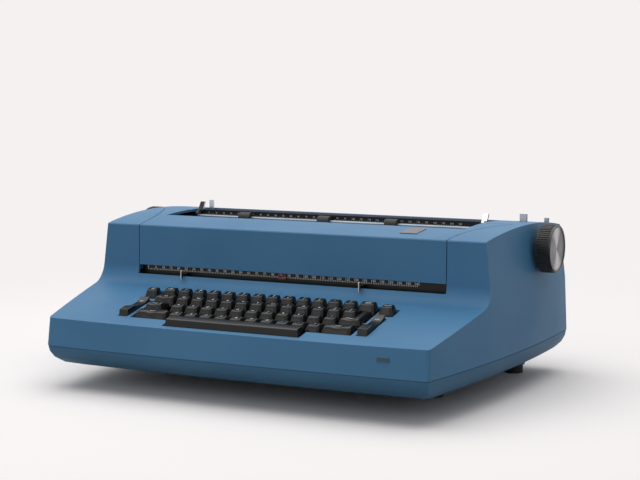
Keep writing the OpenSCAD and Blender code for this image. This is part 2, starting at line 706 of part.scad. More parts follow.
module knob_inlays() color([0.75, 0.76, 0.78]) place()
    both_sides() rod(knob_outer_x - 2, knob_outer_x - 0.8, platen_y, platen_z, knob_r - 3, 96);

module feed_rolls(s) {
    y = platen_y + s * feed_y;
    z = platen_z - feed_z;
    rod(-plate_x - plate_t - 2, plate_x + plate_t + 2, y, z, feed_shaft_r);
    for (x = [-135, -45, 45, 135]) rod(x - 20, x + 20, y, z, feed_r);
}
module feed_rolls_front() color([0.1, 0.1, 0.1]) place() feed_rolls(-1);
module feed_rolls_rear() color([0.1, 0.1, 0.1]) place() feed_rolls(1);

deflector_r = platen_r + 1.2;
module paper_deflector() color([0.45, 0.46, 0.48]) place()
    difference() {
        union() {
            along_x(-platen_len / 2 - 4, platen_len / 2 + 4) translate([platen_y, platen_z]) difference() {
                circle(r = deflector_r + 1.2, $fn = 96);
                circle(r = deflector_r, $fn = 96);
                translate([-60, -4]) square([120, 80]);
            }
            both_sides() box([platen_len / 2 + 4, platen_y - 3, platen_z - deflector_r - 3],
                [plate_x, platen_y + 3, platen_z - deflector_r + 1]);
        }
        for (s = [-1, 1], x = [-135, -45, 45, 135])
            rod(x - 21, x + 21, platen_y + s * feed_y, platen_z - feed_z, feed_r + 1);
        for (s = [-1, 1])
            rod(-far / 2, far / 2, platen_y + s * feed_y, platen_z - feed_z, feed_shaft_r + 0.6);
    }

module paper_bail() color([0.12, 0.12, 0.13]) place() {
    y0 = bail_y + bail_roll_r + 0.8;
    y1 = y0 + 1.2;
    z1 = bail_z + bail_roll_r + 0.6;
    rod(-bail_x, bail_x, bail_y, bail_z, bail_rod_r);
    box([-bail_x - 1, y0, bail_z - 0.5], [bail_x + 1, y1, z1]);
    both_sides() along_x(bail_x, bail_x + 3)
        polygon([[bail_pivot_y - 4, bail_pivot_z - 4], [bail_pivot_y + 4, bail_pivot_z - 4],
            [bail_pivot_y + 4, bail_pivot_z + 4], [bail_y + 5, bail_z - 5], [y1, bail_z - 1.5], [y1, z1],
            [bail_y + 7, z1 + 1.5], [bail_y + 4, z1 + 1.5], [bail_y - 4, bail_z + 4],
            [bail_y - 4, bail_z - 6],
            [bail_pivot_y - 4, bail_pivot_z + 4]]);
    both_sides() along_x(bail_x - 3.5, bail_x + 3)
        polygon([[bail_y + 2.6, z1 - 0.6], [bail_y + 5.6, z1 - 1.6], [bail_y + 12, bail_z + 17],
            [bail_y + 9, bail_z + 17]]);
    both_sides() rod(bail_x + 3 - eps, plate_x + plate_t + 2, bail_pivot_y, bail_pivot_z, bail_pin_r);
}

module bail_rollers() color([0.08, 0.08, 0.08]) place()
    for (x = bail_roll_x) difference() {
        rod(x - bail_roll_len / 2, x + bail_roll_len / 2, bail_y, bail_z, bail_roll_r);
        rod(x - bail_roll_len, x + bail_roll_len, bail_y, bail_z, bail_rod_r + run_clear);
    }

// Hand lever on a pin in a side plate, with its tab through the top
module hand_lever(x, y, z, top, tab, pin0, pin1) {
    along_x(x - 1, x + 1)
        polygon([[y - 4, z - 4], [y + 4, z - 4], [y + 4, z + 4], [y + 1.5, top - 12], [y - 1.5, top - 12],
            [y - 4, z + 4]]);
    box([tab[0], y - 1.5, top - 14], [tab[1], y + 1, top]);
    rod(pin0, pin1, y, z, lever_pin_r);
}
module paper_release_lever() color([0.75, 0.76, 0.78]) place()
    hand_lever(plate_x + plate_t + 2, lever_y, back_lever_z, release_top_z, release_tab, plate_x,
        plate_x + plate_t + 2);
module copy_control_lever() color([0.75, 0.76, 0.78]) place()
    hand_lever(copy_tab[1] - 1, lever_y, back_lever_z, copy_top_z, copy_tab, -plate_x - plate_t,
        copy_tab[1] - 1);
module line_space_lever() color([0.75, 0.76, 0.78]) place()
    hand_lever(space_tab[0] + 1, space_y, space_z, space_top_z, space_tab, plate_x, space_tab[0] + 1);

module margin_scale() color([0.06, 0.06, 0.07]) place()
    box([-plate_x, scale_y, scale_low_z], [plate_x, scale_y + scale_t, scale_top_z]);

module margin_rack() color([0.6, 0.6, 0.62]) place()
    difference() {
        box([-plate_x, rack_y, rack_z], [plate_x, rack_y + rack_w, rack_z + rack_h]);
        for (i = [0 : 69])
            translate([-180 + i * 5.2, rack_y + rack_w - 1, rack_z - 1]) cube([2, 2, rack_h + 2]);
    }

// Blade through the slot, under the scale to a foot that rides on the margin rack
module margin_stop(x) translate([x, 0, 0]) place() {
    half = stop_blade_t / 2;
    lip_z = slot_low_z + 0.5;
    low_z = rack_z - 4;
    tab_y = tall_y - 8.6;
    along_x(-half, half)
        polygon([[tab_y, lip_z - 3.5], [tab_y + 1.8, lip_z - 3.5], [tab_y + 4.4, lip_z],
            [scale_y - 4.4, lip_z],
            [scale_y - 4.4, low_z], [rack_y - 1, low_z], [rack_y - 1, scale_low_z - 0.6],
            [scale_y - 0.6, scale_low_z - 0.6], [scale_y - 0.6, lip_z + 2.6], [tab_y + 1.8, lip_z + 2.6],
            [tab_y + 1.8, lip_z + 7.5], [tab_y, lip_z + 6.5]]);
    difference() {
        box([-5, rack_y - 1.4, low_z], [5, rack_y + rack_w + 2, rack_z + rack_h + 3]);
        box([-6, rack_y - 0.1, rack_z - 0.1], [6, rack_y + rack_w + 0.1, rack_z + rack_h + 0.1]);
    }
}
module margin_stop_left() color([0.85, 0.85, 0.84]) margin_stop(stop_left_x);
module margin_stop_right() color([0.85, 0.85, 0.84]) margin_stop(stop_right_x);

// Rounds a cap's four corners, more at the top
module cap_corners(w, d, h) {
    x = max(0, w - cap_w) / 2;
    y = max(0, d - cap_d) / 2;
    tall = h + 6;
    for (i = x > 0 ? [-1, 1] : [0], k = y > 0 ? [-1, 1] : [0]) translate([i * x, k * y, 0])
        cylinder(h = tall, r1 = cap_foot_r, r2 = cap_foot_r - (cap_foot_r - cap_top_r) * tall / h);
    if (x > 0) box([-x, -d / 2, 0], [x, d / 2, tall]);
    if (y > 0) box([-w / 2, -y, 0], [w / 2, y, tall]);
}
// Key cap on its foot's centre: bottom at 0, height h, top tilted to the operator
module cap(w, d, h) {
    tilt = tan(key_rise) * 0.6;
    top_d = d / 2 - cap_taper;
    difference() {
        intersection() {
            along_x(-w / 2, w / 2)
                polygon([[-d / 2, 0], [d / 2, 0], [d / 2, 2], [top_d, h + top_d * tilt],
                    [-top_d - 0.6, h - top_d * tilt], [-d / 2, 2]]);
            along_y(-d / 2, d / 2)
                polygon([[-w / 2, 0], [w / 2, 0], [w / 2, 2], [w / 2 - cap_taper, h + 6],
                    [-w / 2 + cap_taper, h + 6], [-w / 2, 2]]);
            cap_corners(w, d, h);
        }
        translate([0, 0, h + dish_r - dish_deep]) rotate([90 + atan(tilt), 0, 0])
            translate([0, 0, -d]) cylinder(h = 2 * d, r = dish_r, $fn = 96);
    }
}
module cap_at(x, y, w, d = cap_d) {
    z = deck_z(y) - cap_below;
    translate([x, y, z]) cap(w, d, key_top(y) - z);
}
// Lever from the fulcrum rod to a key at y, with the post that carries the cap
module key_lever(x, y) {
    difference() {
        union() {
            along_x(x - lever_t / 2, x + lever_t / 2)
                polygon([[y - post_half, lever_z(y - post_half) - lever_h / 2], [ful_y, ful_z - lever_h / 2],
                    [ful_y, ful_z + lever_h / 2], [y + post_half, lever_z(y + post_half) + lever_h / 2],
                    [y + post_half, deck_z(y) - cap_below + 1], [y - post_half, deck_z(y) - cap_below + 1]]);
            rod(x - hub_w / 2, x + hub_w / 2, ful_y, ful_z, hub_r, 32);
        }
        rod(x - hub_w, x + hub_w, ful_y, ful_z, rod_r + run_clear, 32);
    }
}
module key(row, i) {
    key_lever(key_x(row, i), row_y[row]);
    cap_at(key_x(row, i), row_y[row], cap_w);
}
module key_column(n) color([0.13, 0.13, 0.14]) place()
    if (n <= 10) for (row = [0 : 3]) key(row, n - 1);
    else for (row = [0 : 2]) for (i = [10 : row_keys[row] - 1]) key(row, i);

// Wide keys, from the left edge x0 to the right edge x1
module wide_key(x0, x1, y, lever_x) {
    key_lever(lever_x, y);
    cap_at((x0 + x1) / 2, y, x1 - x0);
}
left_lever = first_key_x - 5.4;
lever_step = 5;
lock_w = 24;
right_lever = key_x(1, 11) + 4.9;
module tab_key() color([0.13, 0.13, 0.14]) place()
    wide_key(-key_edge, key_x(1, 0) - key_pitch / 2 - key_gap / 2, row_y[1], left_lever);
module shift_lock() color([0.13, 0.13, 0.14]) place()
    wide_key(-key_edge, -key_edge + lock_w, row_y[2], left_lever - lever_step);
module express_key() color([0.13, 0.13, 0.14]) place()
    wide_key(-key_edge, key_x(0, 0) - key_pitch / 2 - key_gap / 2, row_y[0], left_lever - 3 * lever_step);
module backspace_key() color([0.13, 0.13, 0.14]) place()
    wide_key(key_x(0, 11) + key_pitch / 2 + key_gap / 2, key_edge, row_y[0], right_lever + 2 * lever_step);
module margin_release_key() color([0.13, 0.13, 0.14]) place()
    wide_key(lone_left_x - cap_w / 2, lone_left_x + cap_w / 2, lone_y, lone_left_x);
module index_key() color([0.13, 0.13, 0.14]) place()
    wide_key(lone_right_x - cap_w / 2, lone_right_x + cap_w / 2, lone_y, lone_right_x);
module return_key() color([0.13, 0.13, 0.14]) place() {
    x_low = key_x(2, 10) + key_pitch / 2 + key_gap / 2;
    x_high = key_x(1, 11) + key_pitch / 2 + key_gap / 2;
    wide_key(x_low, key_edge, row_y[2], right_lever + lever_step);
    cap_at((x_high + key_edge) / 2, (row_y[1] + row_y[2]) / 2, key_edge - x_high, cap_d + key_pitch);
}
shift_bail_y = comb_y + 14;
shift_bail_z = 70;
module shift_drop(x)
    along_x(x - lever_t / 2, x + lever_t / 2)
        polygon([[shift_bail_y - 4, shift_bail_z - 3], [shift_bail_y + 4, shift_bail_z - 3],
            [shift_bail_y + 4, lever_z(shift_bail_y)], [shift_bail_y - 4, lever_z(shift_bail_y)]]);
module shift_left() color([0.13, 0.13, 0.14]) place() {
    wide_key(-key_edge, key_x(3, 0) - key_pitch / 2 - key_gap / 2, row_y[3], left_lever - 2 * lever_step);
    shift_drop(left_lever - 2 * lever_step);
    box([left_lever - 2 * lever_step, shift_bail_y - 2.5, shift_bail_z - 2.5],
        [right_lever - lever_t / 2, shift_bail_y + 2.5, shift_bail_z + 2.5]);
}
module shift_right() color([0.13, 0.13, 0.14]) place() {
    wide_key(key_x(3, 9) + key_pitch / 2 + key_gap / 2, key_edge, row_y[3], right_lever);
    shift_drop(right_lever);
}

module space_bar() color([0.13, 0.13, 0.14]) place() {
    low = deck_z(bar_front_y) - cap_below;
    intersection() {
        along_x(-bar_half, bar_half)
            polygon([[bar_front_y, low], [bar_rear_y, low], [bar_rear_y, bar_rear_z - 2],
                [bar_rear_y - 2, bar_rear_z],
                [bar_front_y + 3, bar_front_z], [bar_front_y + 1.2, bar_front_z - 1.2]]);
        along_y(bar_front_y - 1, bar_rear_y + 1)
            polygon([[-bar_half, low - 1], [bar_half, low - 1], [bar_half - 2.4, bar_rear_z + 1],
                [-bar_half + 2.4, bar_rear_z + 1]]);
    }
    both_sides() along_x(bar_arm_x, bar_arm_x + 2)
        polygon([[bar_front_y + 3, low + 1], [bar_front_y + 11, low + 1],
            [bar_front_y + 11, bar_shaft_z + 5],
            [bar_shaft_y, bar_shaft_z + 3.5], [bar_shaft_y, bar_shaft_z - 3.5],
            [bar_front_y + 5, bar_shaft_z - 2], [bar_front_y + 3, bar_shaft_z]]);
    rod(-bar_arm_x - 14, bar_arm_x + 14, bar_shaft_y, bar_shaft_z, bar_shaft_r);
}

// Saddle-shaped rocker with its pins, in its own cut-out
module rocker(x) translate([x, 0, 0]) place() {
    low = deck_z(rocker_front_y) - cap_below;
    along_x(-rocker_w / 2, rocker_w / 2) difference() {
        polygon([[rocker_front_y, deck_z(rocker_front_y) - 3], [rocker_y, rocker_z - 5],
            [rocker_rear_y, deck_z(rocker_rear_y) - 3],
            [rocker_rear_y - 1, deck_z(rocker_rear_y) + rocker_rise],
            [rocker_front_y + 1.6, deck_z(rocker_front_y) + rocker_rise]]);
        translate([rocker_y, deck_z(rocker_y) + rocker_rise + 34.4]) circle(r = 38, $fn = 96);
    }
    rod(kb_inner_x - 2 - rocker_x, kb_side_x + 2 - rocker_x, rocker_y, rocker_z, rocker_pin_r);
}
module tab_set_rocker() color([0.13, 0.13, 0.14]) mirror([1, 0, 0]) rocker(rocker_x);
module power_rocker() color([0.13, 0.13, 0.14]) rocker(rocker_x);

function lever_xs() = concat(
    [for (row = [0 : 3]) for (i = [0 : row_keys[row] - 1]) key_x(row, i)],
    [for (i = [0 : 3]) left_lever - i * lever_step],
    [for (i = [0 : 2]) right_lever + i * lever_step],
    [lone_left_x, lone_right_x]);
module keyboard_frame() color([0.5, 0.51, 0.53]) place() {
    difference() {
        union() {
            box([-kb_side_x - 2.5, 22, kb_plate_z], [kb_side_x + 2.5, ful_y + 8, kb_plate_z + kb_plate_t]);
            both_sides() along_x(kb_side_x, kb_side_x + 2.5)
                polygon([[44, kb_plate_z], [ful_y + 8, kb_plate_z], [ful_y + 8, ful_z + 6],
                    [ful_y - 8, ful_z + 6],
                    [kb_rear_y + 1, 74], [66, 74], [60, rocker_z + 3.4], [48, rocker_z + 3.4]]);
            both_sides() along_x(kb_inner_x - 2, kb_inner_x)
                polygon([[46, kb_plate_z], [62, kb_plate_z], [59, rocker_z + 3.4], [49, rocker_z + 3.4]]);
            both_sides() along_x(bar_arm_x + 6, bar_arm_x + 9)
                polygon([[bar_shaft_y - 8, kb_plate_z], [bar_shaft_y + 8, kb_plate_z],
                    [bar_shaft_y + 5, bar_shaft_z + 5], [bar_shaft_y - 5, bar_shaft_z + 5]]);
            box([-kb_side_x, comb_y, kb_plate_z], [kb_side_x, comb_y + comb_t, lever_z(comb_y) + 2]);
        }
        for (x = lever_xs())
            box([x - lever_t / 2 - pass_clear, comb_y - 1, lever_z(comb_y) - lever_h / 2 - 3],
                [x + lever_t / 2 + pass_clear, comb_y + comb_t + 1, far]);
        rod(-kb_side_x - 9, kb_side_x + 9, ful_y, ful_z, rod_r);
        rod(-kb_side_x - 9, kb_side_x + 9, rocker_y, rocker_z, rocker_pin_r + run_clear);
        rod(-bar_arm_x - 20, bar_arm_x + 20, bar_shaft_y, bar_shaft_z, bar_shaft_r + run_clear);
    }
}

module key_fulcrum_rod() color([0.7, 0.7, 0.72]) place()
    rod(-kb_side_x - 2.5, kb_side_x + 2.5, ful_y, ful_z, rod_r);

bottom_pan();
top_shell();
lid();
paper_table();
lid_badge();
rubber_feet();
case_screws();
cord_bushing();
power_frame();
motor();
motor_pulley();
drive_belt();
drive_shaft();
print_shaft();
carrier_rail();
carrier();
carrier_pointer();
tilt_rocker();
type_element();
ribbon_cartridge();
platen();
platen_knobs();
knob_inlays();
feed_rolls_front();
feed_rolls_rear();
paper_deflector();
paper_bail();
bail_rollers();
paper_release_lever();
copy_control_lever();
line_space_lever();
margin_scale();
margin_rack();
margin_stop_left();
margin_stop_right();
keyboard_frame();
key_fulcrum_rod();
key_column(1);  // key_column_1
key_column(2);  // key_column_2
key_column(3);  // key_column_3
key_column(4);  // key_column_4
key_column(5);  // key_column_5
key_column(6);  // key_column_6
key_column(7);  // key_column_7
key_column(8);  // key_column_8
key_column(9);  // key_column_9
key_column(10);  // key_column_10
key_column(11);  // key_column_11
space_bar();
shift_left();
shift_right();
shift_lock();
tab_key();
express_key();
margin_release_key();
backspace_key();
return_key();
index_key();
tab_set_rocker();
power_rocker();
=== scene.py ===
import json
import math
import bpy
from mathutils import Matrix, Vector

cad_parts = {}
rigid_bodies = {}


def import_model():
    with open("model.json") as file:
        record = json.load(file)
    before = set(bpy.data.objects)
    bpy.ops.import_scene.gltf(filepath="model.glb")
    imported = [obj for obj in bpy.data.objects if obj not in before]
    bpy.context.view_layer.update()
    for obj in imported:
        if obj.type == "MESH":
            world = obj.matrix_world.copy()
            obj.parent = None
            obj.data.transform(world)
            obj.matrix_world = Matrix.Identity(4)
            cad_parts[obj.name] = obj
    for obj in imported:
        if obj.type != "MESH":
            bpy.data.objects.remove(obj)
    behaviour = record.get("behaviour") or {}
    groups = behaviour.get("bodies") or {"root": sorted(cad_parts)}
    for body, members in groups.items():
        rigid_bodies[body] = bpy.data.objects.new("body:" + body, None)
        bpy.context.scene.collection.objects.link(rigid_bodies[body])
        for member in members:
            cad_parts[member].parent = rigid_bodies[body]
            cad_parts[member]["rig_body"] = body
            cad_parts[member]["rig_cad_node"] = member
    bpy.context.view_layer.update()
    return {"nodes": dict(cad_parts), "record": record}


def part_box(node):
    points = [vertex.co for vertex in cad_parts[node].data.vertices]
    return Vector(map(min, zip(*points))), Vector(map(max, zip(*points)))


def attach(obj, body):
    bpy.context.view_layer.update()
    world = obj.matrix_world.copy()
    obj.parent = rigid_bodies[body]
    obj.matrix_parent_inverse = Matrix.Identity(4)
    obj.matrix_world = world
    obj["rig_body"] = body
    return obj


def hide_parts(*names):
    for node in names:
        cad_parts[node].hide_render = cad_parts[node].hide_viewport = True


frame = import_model()
cad = frame["nodes"]
bodies = frame["record"]["behaviour"]["bodies"]
bodyOf = {node: body for body, members in bodies.items() for node in members}
slotOf = {row["node"]: row["material_slot"] for row in frame["record"]["subparts"]}
bpy.context.scene.view_settings.view_transform = "Standard"

mm = 0.001
caseFront = -187.5  # in mm; the case runs 375 mm back from here
facing = 0.9  # a face looks along an axis when its normal has at least this much of it
print("frame loaded,", len(cad), "CAD pieces")


def at(x, y, z):  # a point in millimetres, y counted from the front of the case
    return Vector((x * mm, (y + caseFront) * mm, z * mm))


# The camera stands before the machine, to its right and a little above it
view = {"place": (0.84056, -1.57947, 0.36098), "turn": (83.6221, 0.22614, 27.46209), "lens": 87.654,
        "near": 0.05, "far": 60}
bpy.ops.object.camera_add(location=view["place"], rotation=[math.radians(a) for a in view["turn"]])
camera = bpy.context.object
camera.data.lens = view["lens"]
camera.data.clip_start = view["near"]
camera.data.clip_end = view["far"]
bpy.context.scene.camera = camera


# Modelling helpers
def selectOnly(*pieces):
    if bpy.context.object and bpy.context.object.mode != "OBJECT":
        bpy.ops.object.mode_set(mode="OBJECT")
    bpy.ops.object.select_all(action="DESELECT")
    for piece in pieces:
        piece.select_set(True)
    bpy.context.view_layer.objects.active = pieces[0]


def editWith(piece, kind, test):  # opens edit mode with the faces or edges that pass the test selected
    selectOnly(piece)
    bpy.ops.object.mode_set(mode="EDIT")
    bpy.ops.mesh.select_mode(type=kind)
    bpy.ops.mesh.select_all(action="DESELECT")
    bpy.ops.object.mode_set(mode="OBJECT")
    mesh = piece.data
    for part in mesh.polygons if kind == "FACE" else mesh.edges:
        part.select = test(part, mesh)
    bpy.ops.object.mode_set(mode="EDIT")


def closeEdit():
    bpy.ops.object.mode_set(mode="OBJECT")


def settle(piece):  # leaves the object at the origin, with its place in its mesh
    selectOnly(piece)
    bpy.ops.object.transform_apply(location=True, rotation=True, scale=True)


def modify(piece, kind, **settings):
    selectOnly(piece)
    bpy.ops.object.modifier_add(type=kind)
    modifier = piece.modifiers[-1]
    for name, value in settings.items():
        setattr(modifier, name, value)
    bpy.ops.object.modifier_apply(modifier=modifier.name)


def smooth(piece, degrees):
    selectOnly(piece)
    bpy.ops.object.shade_smooth_by_angle(angle=math.radians(degrees))


def joinAll(pieces, name):
    selectOnly(*pieces)
    if len(pieces) > 1:
        bpy.ops.object.join()
    joined = bpy.context.object
    joined.name = name
    joined.data.name = name
    return joined


def dress(piece, material):
    piece.data.materials.clear()
    piece.data.materials.append(material)


def finishPiece(piece, name, body, material, slot, *replaced):
    piece.name = name
    piece.data.name = name
    dress(piece, material)
    settle(piece)
    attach(piece, body)
    if replaced:
        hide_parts(*replaced)
    return piece


# How far apart two corners may be to be one, in metres, and two faces may lean to be one, in degrees
merging = {"corners": 0.000004, "faces": 0.15}


def mergedCopy(node, name):  # a CAD piece as one closed mesh with its flat faces joined
    piece = cad[node].copy()
    piece.data = cad[node].data.copy()
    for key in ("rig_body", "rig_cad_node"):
        del piece[key]
    bpy.context.scene.collection.objects.link(piece)
    piece.parent = None
    piece.name = name
    selectOnly(piece)
    bpy.ops.object.mode_set(mode="EDIT")
    bpy.ops.mesh.select_all(action="SELECT")
    bpy.ops.mesh.remove_doubles(threshold=merging["corners"])
    bpy.ops.mesh.dissolve_limited(angle_limit=math.radians(merging["faces"]))
    closeEdit()
    if piece.data.has_custom_normals:
        bpy.ops.mesh.customdata_custom_splitnormals_clear()
    return piece


def softened(node, name, edgeMm, segments, material, creaseDegrees=28, smoothDegrees=34):
    piece = mergedCopy(node, name)
    modify(piece, "BEVEL", width=edgeMm * mm, segments=segments, limit_method="ANGLE",
           angle_limit=math.radians(creaseDegrees), harden_normals=False)
    smooth(piece, smoothDegrees)
    modify(piece, "WEIGHTED_NORMAL", keep_sharp=True)
    return finishPiece(piece, name, bodyOf[node], material, slotOf[node], node)


# Material helpers
def hexColour(text):  # sRGB hex to linear
    parts = [int(text[i:i + 2], 16) / 255 for i in (1, 3, 5)]
    return [p / 12.92 if p <= 0.04045 else ((p + 0.055) / 1.055) ** 2.4 for p in parts] + [1.0]


def connect(tree, node, inputs):  # links a node's first live output, or a socket, and sets any other value
    for name, value in inputs.items():
        if isinstance(value, bpy.types.Node):
            value = next(output for output in value.outputs if output.enabled)
        if isinstance(value, bpy.types.NodeSocket):
            tree.links.new(value, node.inputs[name])
        else:
            node.inputs[name].default_value = value


def addNode(tree, kind, inputs, **settings):
    node = tree.nodes.new("ShaderNode" + kind)
    for name, value in settings.items():
        setattr(node, name, value)
    connect(tree, node, inputs)
    return node


def startMaterial(name, **sockets):
    material = bpy.data.materials.new(name)
    material.use_nodes = True
    tree = material.node_tree
    shader = tree.nodes["Principled BSDF"]
    connect(tree, shader, {socket.replace("_", " "): value for socket, value in sockets.items()})
    return material, tree, shader


def objectPoint(tree):
    return addNode(tree, "TexCoord", {}).outputs["Object"]


# Grains and tool lines are drawn a few times coarser than real ones, which wouldn't show at this distance
def grainSize(sizeMm):  # noise scale for features of that size
    return 1 / (sizeMm * mm)


def ringScale(pitchMm):  # wave scale for lines that far apart
    return 2 * math.pi / 20 / (pitchMm * mm)


# A Mix node's colours are its sockets 6 and 7
def patches(tree, amount, low, high, first, second, most=1.0):  # the second colour where the amount is high
    share = addNode(tree, "MapRange", {"Value": amount, "From Min": low, "From Max": high, "To Max": most})
    return addNode(tree, "Mix", {0: share, 6: first, 7: second}, data_type="RGBA")


def unevenGloss(tree, amount, roughness, smoother, rougher):  # glossier where the amount is low
    return addNode(tree, "MapRange", {"Value": amount, "From Min": 0.3, "From Max": 0.7,
                                      "To Min": roughness - smoother, "To Max": roughness + rougher})


def rubbedEdges(tree, radiusMm, wear, colour, rubbed):  # the rubbed colour along outer edges, by the wear
    rounded = addNode(tree, "Bevel", {"Radius": radiusMm * mm}, samples=4)
    straight = addNode(tree, "NewGeometry", {}).outputs["Normal"]
    agreement = addNode(tree, "VectorMath", {0: rounded, 1: straight}, operation="DOT_PRODUCT")
    edge = addNode(tree, "MapRange", {"Value": agreement, "From Min": 0.985, "From Max": 0.9})
    share = addNode(tree, "Math", {0: edge, 1: wear}, operation="MULTIPLY")
    return addNode(tree, "Mix", {0: share, 6: colour, 7: hexColour(rubbed)}, data_type="RGBA")


# Baked enamel, sprayed to a fine leather grain: satin, hides fingerprints, rubbed lighter at its edges
def texturedEnamel(name, values):
    material, tree, shader = startMaterial(name, IOR=1.5, Specular_IOR_Level=0.3)
    point = objectPoint(tree)
    cloud = addNode(tree, "TexNoise", {"Vector": point, "Scale": 9.0, "Detail": 3.0})
    grain = addNode(tree, "TexNoise", {"Vector": point, "Scale": grainSize(values["grainMm"]), "Detail": 3.0,
                                       "Roughness": 0.6})
    paint = patches(tree, cloud, low=0.35, high=0.65, first=hexColour(values["colour"]),
                    second=hexColour(values["shade"]))
    flecked = patches(tree, grain, low=0.58, high=0.72, first=paint, second=hexColour(values["fleck"]),
                      most=0.35)
    wear = addNode(tree, "MapRange", {"Value": cloud, "From Min": 0.45, "From Max": 0.7,
                                      "To Min": 0.05, "To Max": 0.45})
    bump = addNode(tree, "Bump", {"Height": grain, "Strength": 0.55, "Distance": values["depthMm"] * mm})
    worn = rubbedEdges(tree, radiusMm=1.2, wear=wear, colour=flecked, rubbed=values["rubbed"])
    gloss = unevenGloss(tree, cloud, values["roughness"], smoother=0.03, rougher=0.05)
    connect(tree, shader, {"Base Color": worn, "Roughness": gloss, "Normal": bump})
    return material


# Moulded ABS, spark-eroded to a fine matt grain: soft highlights, worn smoother where fingers land
def mouldedAbs(name, values):
    material, tree, shader = startMaterial(name, IOR=1.53, Specular_IOR_Level=values.get("specular", 0.5))
    point = objectPoint(tree)
    cloud = addNode(tree, "TexNoise", {"Vector": point, "Scale": 45.0, "Detail": 2.0})
    grain = addNode(tree, "TexNoise", {"Vector": point, "Scale": grainSize(values["grainMm"]), "Detail": 2.0})
    plastic = patches(tree, cloud, low=0.3, high=0.7, first=hexColour(values["colour"]),
                      second=hexColour(values["shade"]))
    bump = addNode(tree, "Bump", {"Height": grain, "Strength": 0.4, "Distance": values["depthMm"] * mm})
    worn = rubbedEdges(tree, radiusMm=0.6, wear=values["edge"], colour=plastic, rubbed=values["rubbed"])
    gloss = unevenGloss(tree, cloud, values["roughness"], smoother=0.05, rougher=0.06)
    connect(tree, shader, {"Base Color": worn, "Roughness": gloss, "Normal": bump})
    return material


# Bare or plated metal with the lines that its last tool left along one axis, which draw the highlights out
def tooledMetal(name, values):
    material, tree, shader = startMaterial(name, Metallic=1.0)
    point = objectPoint(tree)
    stretched = addNode(tree, "Mapping", {"Vector": point, "Scale": values["stretch"]})
    lines = addNode(tree, "TexNoise", {"Vector": stretched, "Scale": grainSize(values["lineMm"]),
                                       "Detail": 3.0})
    cloud = addNode(tree, "TexNoise", {"Vector": point, "Scale": 30.0, "Detail": 3.0})
    tint = patches(tree, cloud, low=0.35, high=0.7, first=hexColour(values["colour"]),
                   second=hexColour(values["shade"]))
    gloss = unevenGloss(tree, lines, values["roughness"], smoother=0.07, rougher=0.09)
    bump = addNode(tree, "Bump", {"Height": lines, "Strength": 0.35, "Distance": values["depthMm"] * mm})
    connect(tree, shader, {"Base Color": tint, "Roughness": gloss, "Normal": bump})
    return material


# Ground rubber: dull, dusty grey in its pores, with the fine rings that the grinding wheel leaves
def groundRubber(name, values):
    material, tree, shader = startMaterial(name, IOR=1.52)
    point = objectPoint(tree)
    dust = addNode(tree, "TexNoise", {"Vector": point, "Scale": grainSize(values["grainMm"]), "Detail": 4.0})
    rings = addNode(tree, "TexWave", {"Vector": point, "Scale": ringScale(values["ringMm"]),
                                      "Distortion": 1.5},
                    wave_type="BANDS", bands_direction="X").outputs["Fac"]
    tint = patches(tree, dust, low=0.4, high=0.75, first=hexColour(values["colour"]),
                   second=hexColour(values["dust"]), most=0.7)
    height = addNode(tree, "Math", {0: dust, 1: rings}, operation="ADD")
    bump = addNode(tree, "Bump", {"Height": height, "Strength": 0.3, "Distance": values["depthMm"] * mm})
    gloss = unevenGloss(tree, dust, values["roughness"], smoother=0.08, rougher=0.08)
    connect(tree, shader, {"Base Color": tint, "Roughness": gloss, "Normal": bump})
    return material


# Spun aluminium disc: turned rings round the platen's axis, and two bright wedges painted in as a painted
# reflection
def spunAluminium(name, values):
    material, tree, shader = startMaterial(name, Metallic=1.0, Roughness=values["roughness"], Anisotropic=0.8)
    centred = addNode(tree, "Mapping", {"Vector": objectPoint(tree), "Scale": (0.0, 1.0, 1.0),
                                        "Location": [-c for c in values["centre"]]})
    rings = addNode(tree, "TexWave", {"Vector": centred, "Scale": ringScale(values["ringMm"]),
                                      "Distortion": 0.6, "Detail": 2.0},
                    wave_type="RINGS", rings_direction="X", wave_profile="TRI").outputs["Fac"]
    across = addNode(tree, "SeparateXYZ", {0: centred}).outputs
    # The wedge colour below is a painted reflection, laid on by the angle round the axis
    angle = addNode(tree, "Math", {0: across["Z"], 1: across["Y"]}, operation="ARCTAN2")
    doubled = addNode(tree, "Math", {0: angle, 1: 2.0, 2: values["wedgeTurn"]}, operation="MULTIPLY_ADD")
    wedge = addNode(tree, "Math", {0: doubled}, operation="COSINE")
    plain = addNode(tree, "Mix", {0: rings, 6: hexColour(values["colour"]), 7: hexColour(values["shade"])},
                    data_type="RGBA")
    tint = patches(tree, wedge, low=0.1, high=1.0, first=plain, second=hexColour(values["wedge"]))
    turned = addNode(tree, "Tangent", {}, direction_type="RADIAL", axis="X")
    bump = addNode(tree, "Bump", {"Height": rings, "Strength": 0.6, "Distance": values["depthMm"] * mm})
    connect(tree, shader, {"Base Color": tint, "Tangent": turned, "Normal": bump})
    return material


# Printing ink or a second shot of plastic: flat white with slightly ragged coverage
def printedWhite(name, values):
    material, tree, shader = startMaterial(name, Roughness=values["roughness"], IOR=1.45)
    cover = addNode(tree, "TexNoise", {"Vector": objectPoint(tree), "Scale": grainSize(values["patchMm"]),
                                       "Detail": 2.0})
    tint = patches(tree, cover, low=0.35, high=0.65, first=hexColour(values["colour"]),
                   second=hexColour(values["worn"]))
    connect(tree, shader, {"Base Color": tint})
    return material


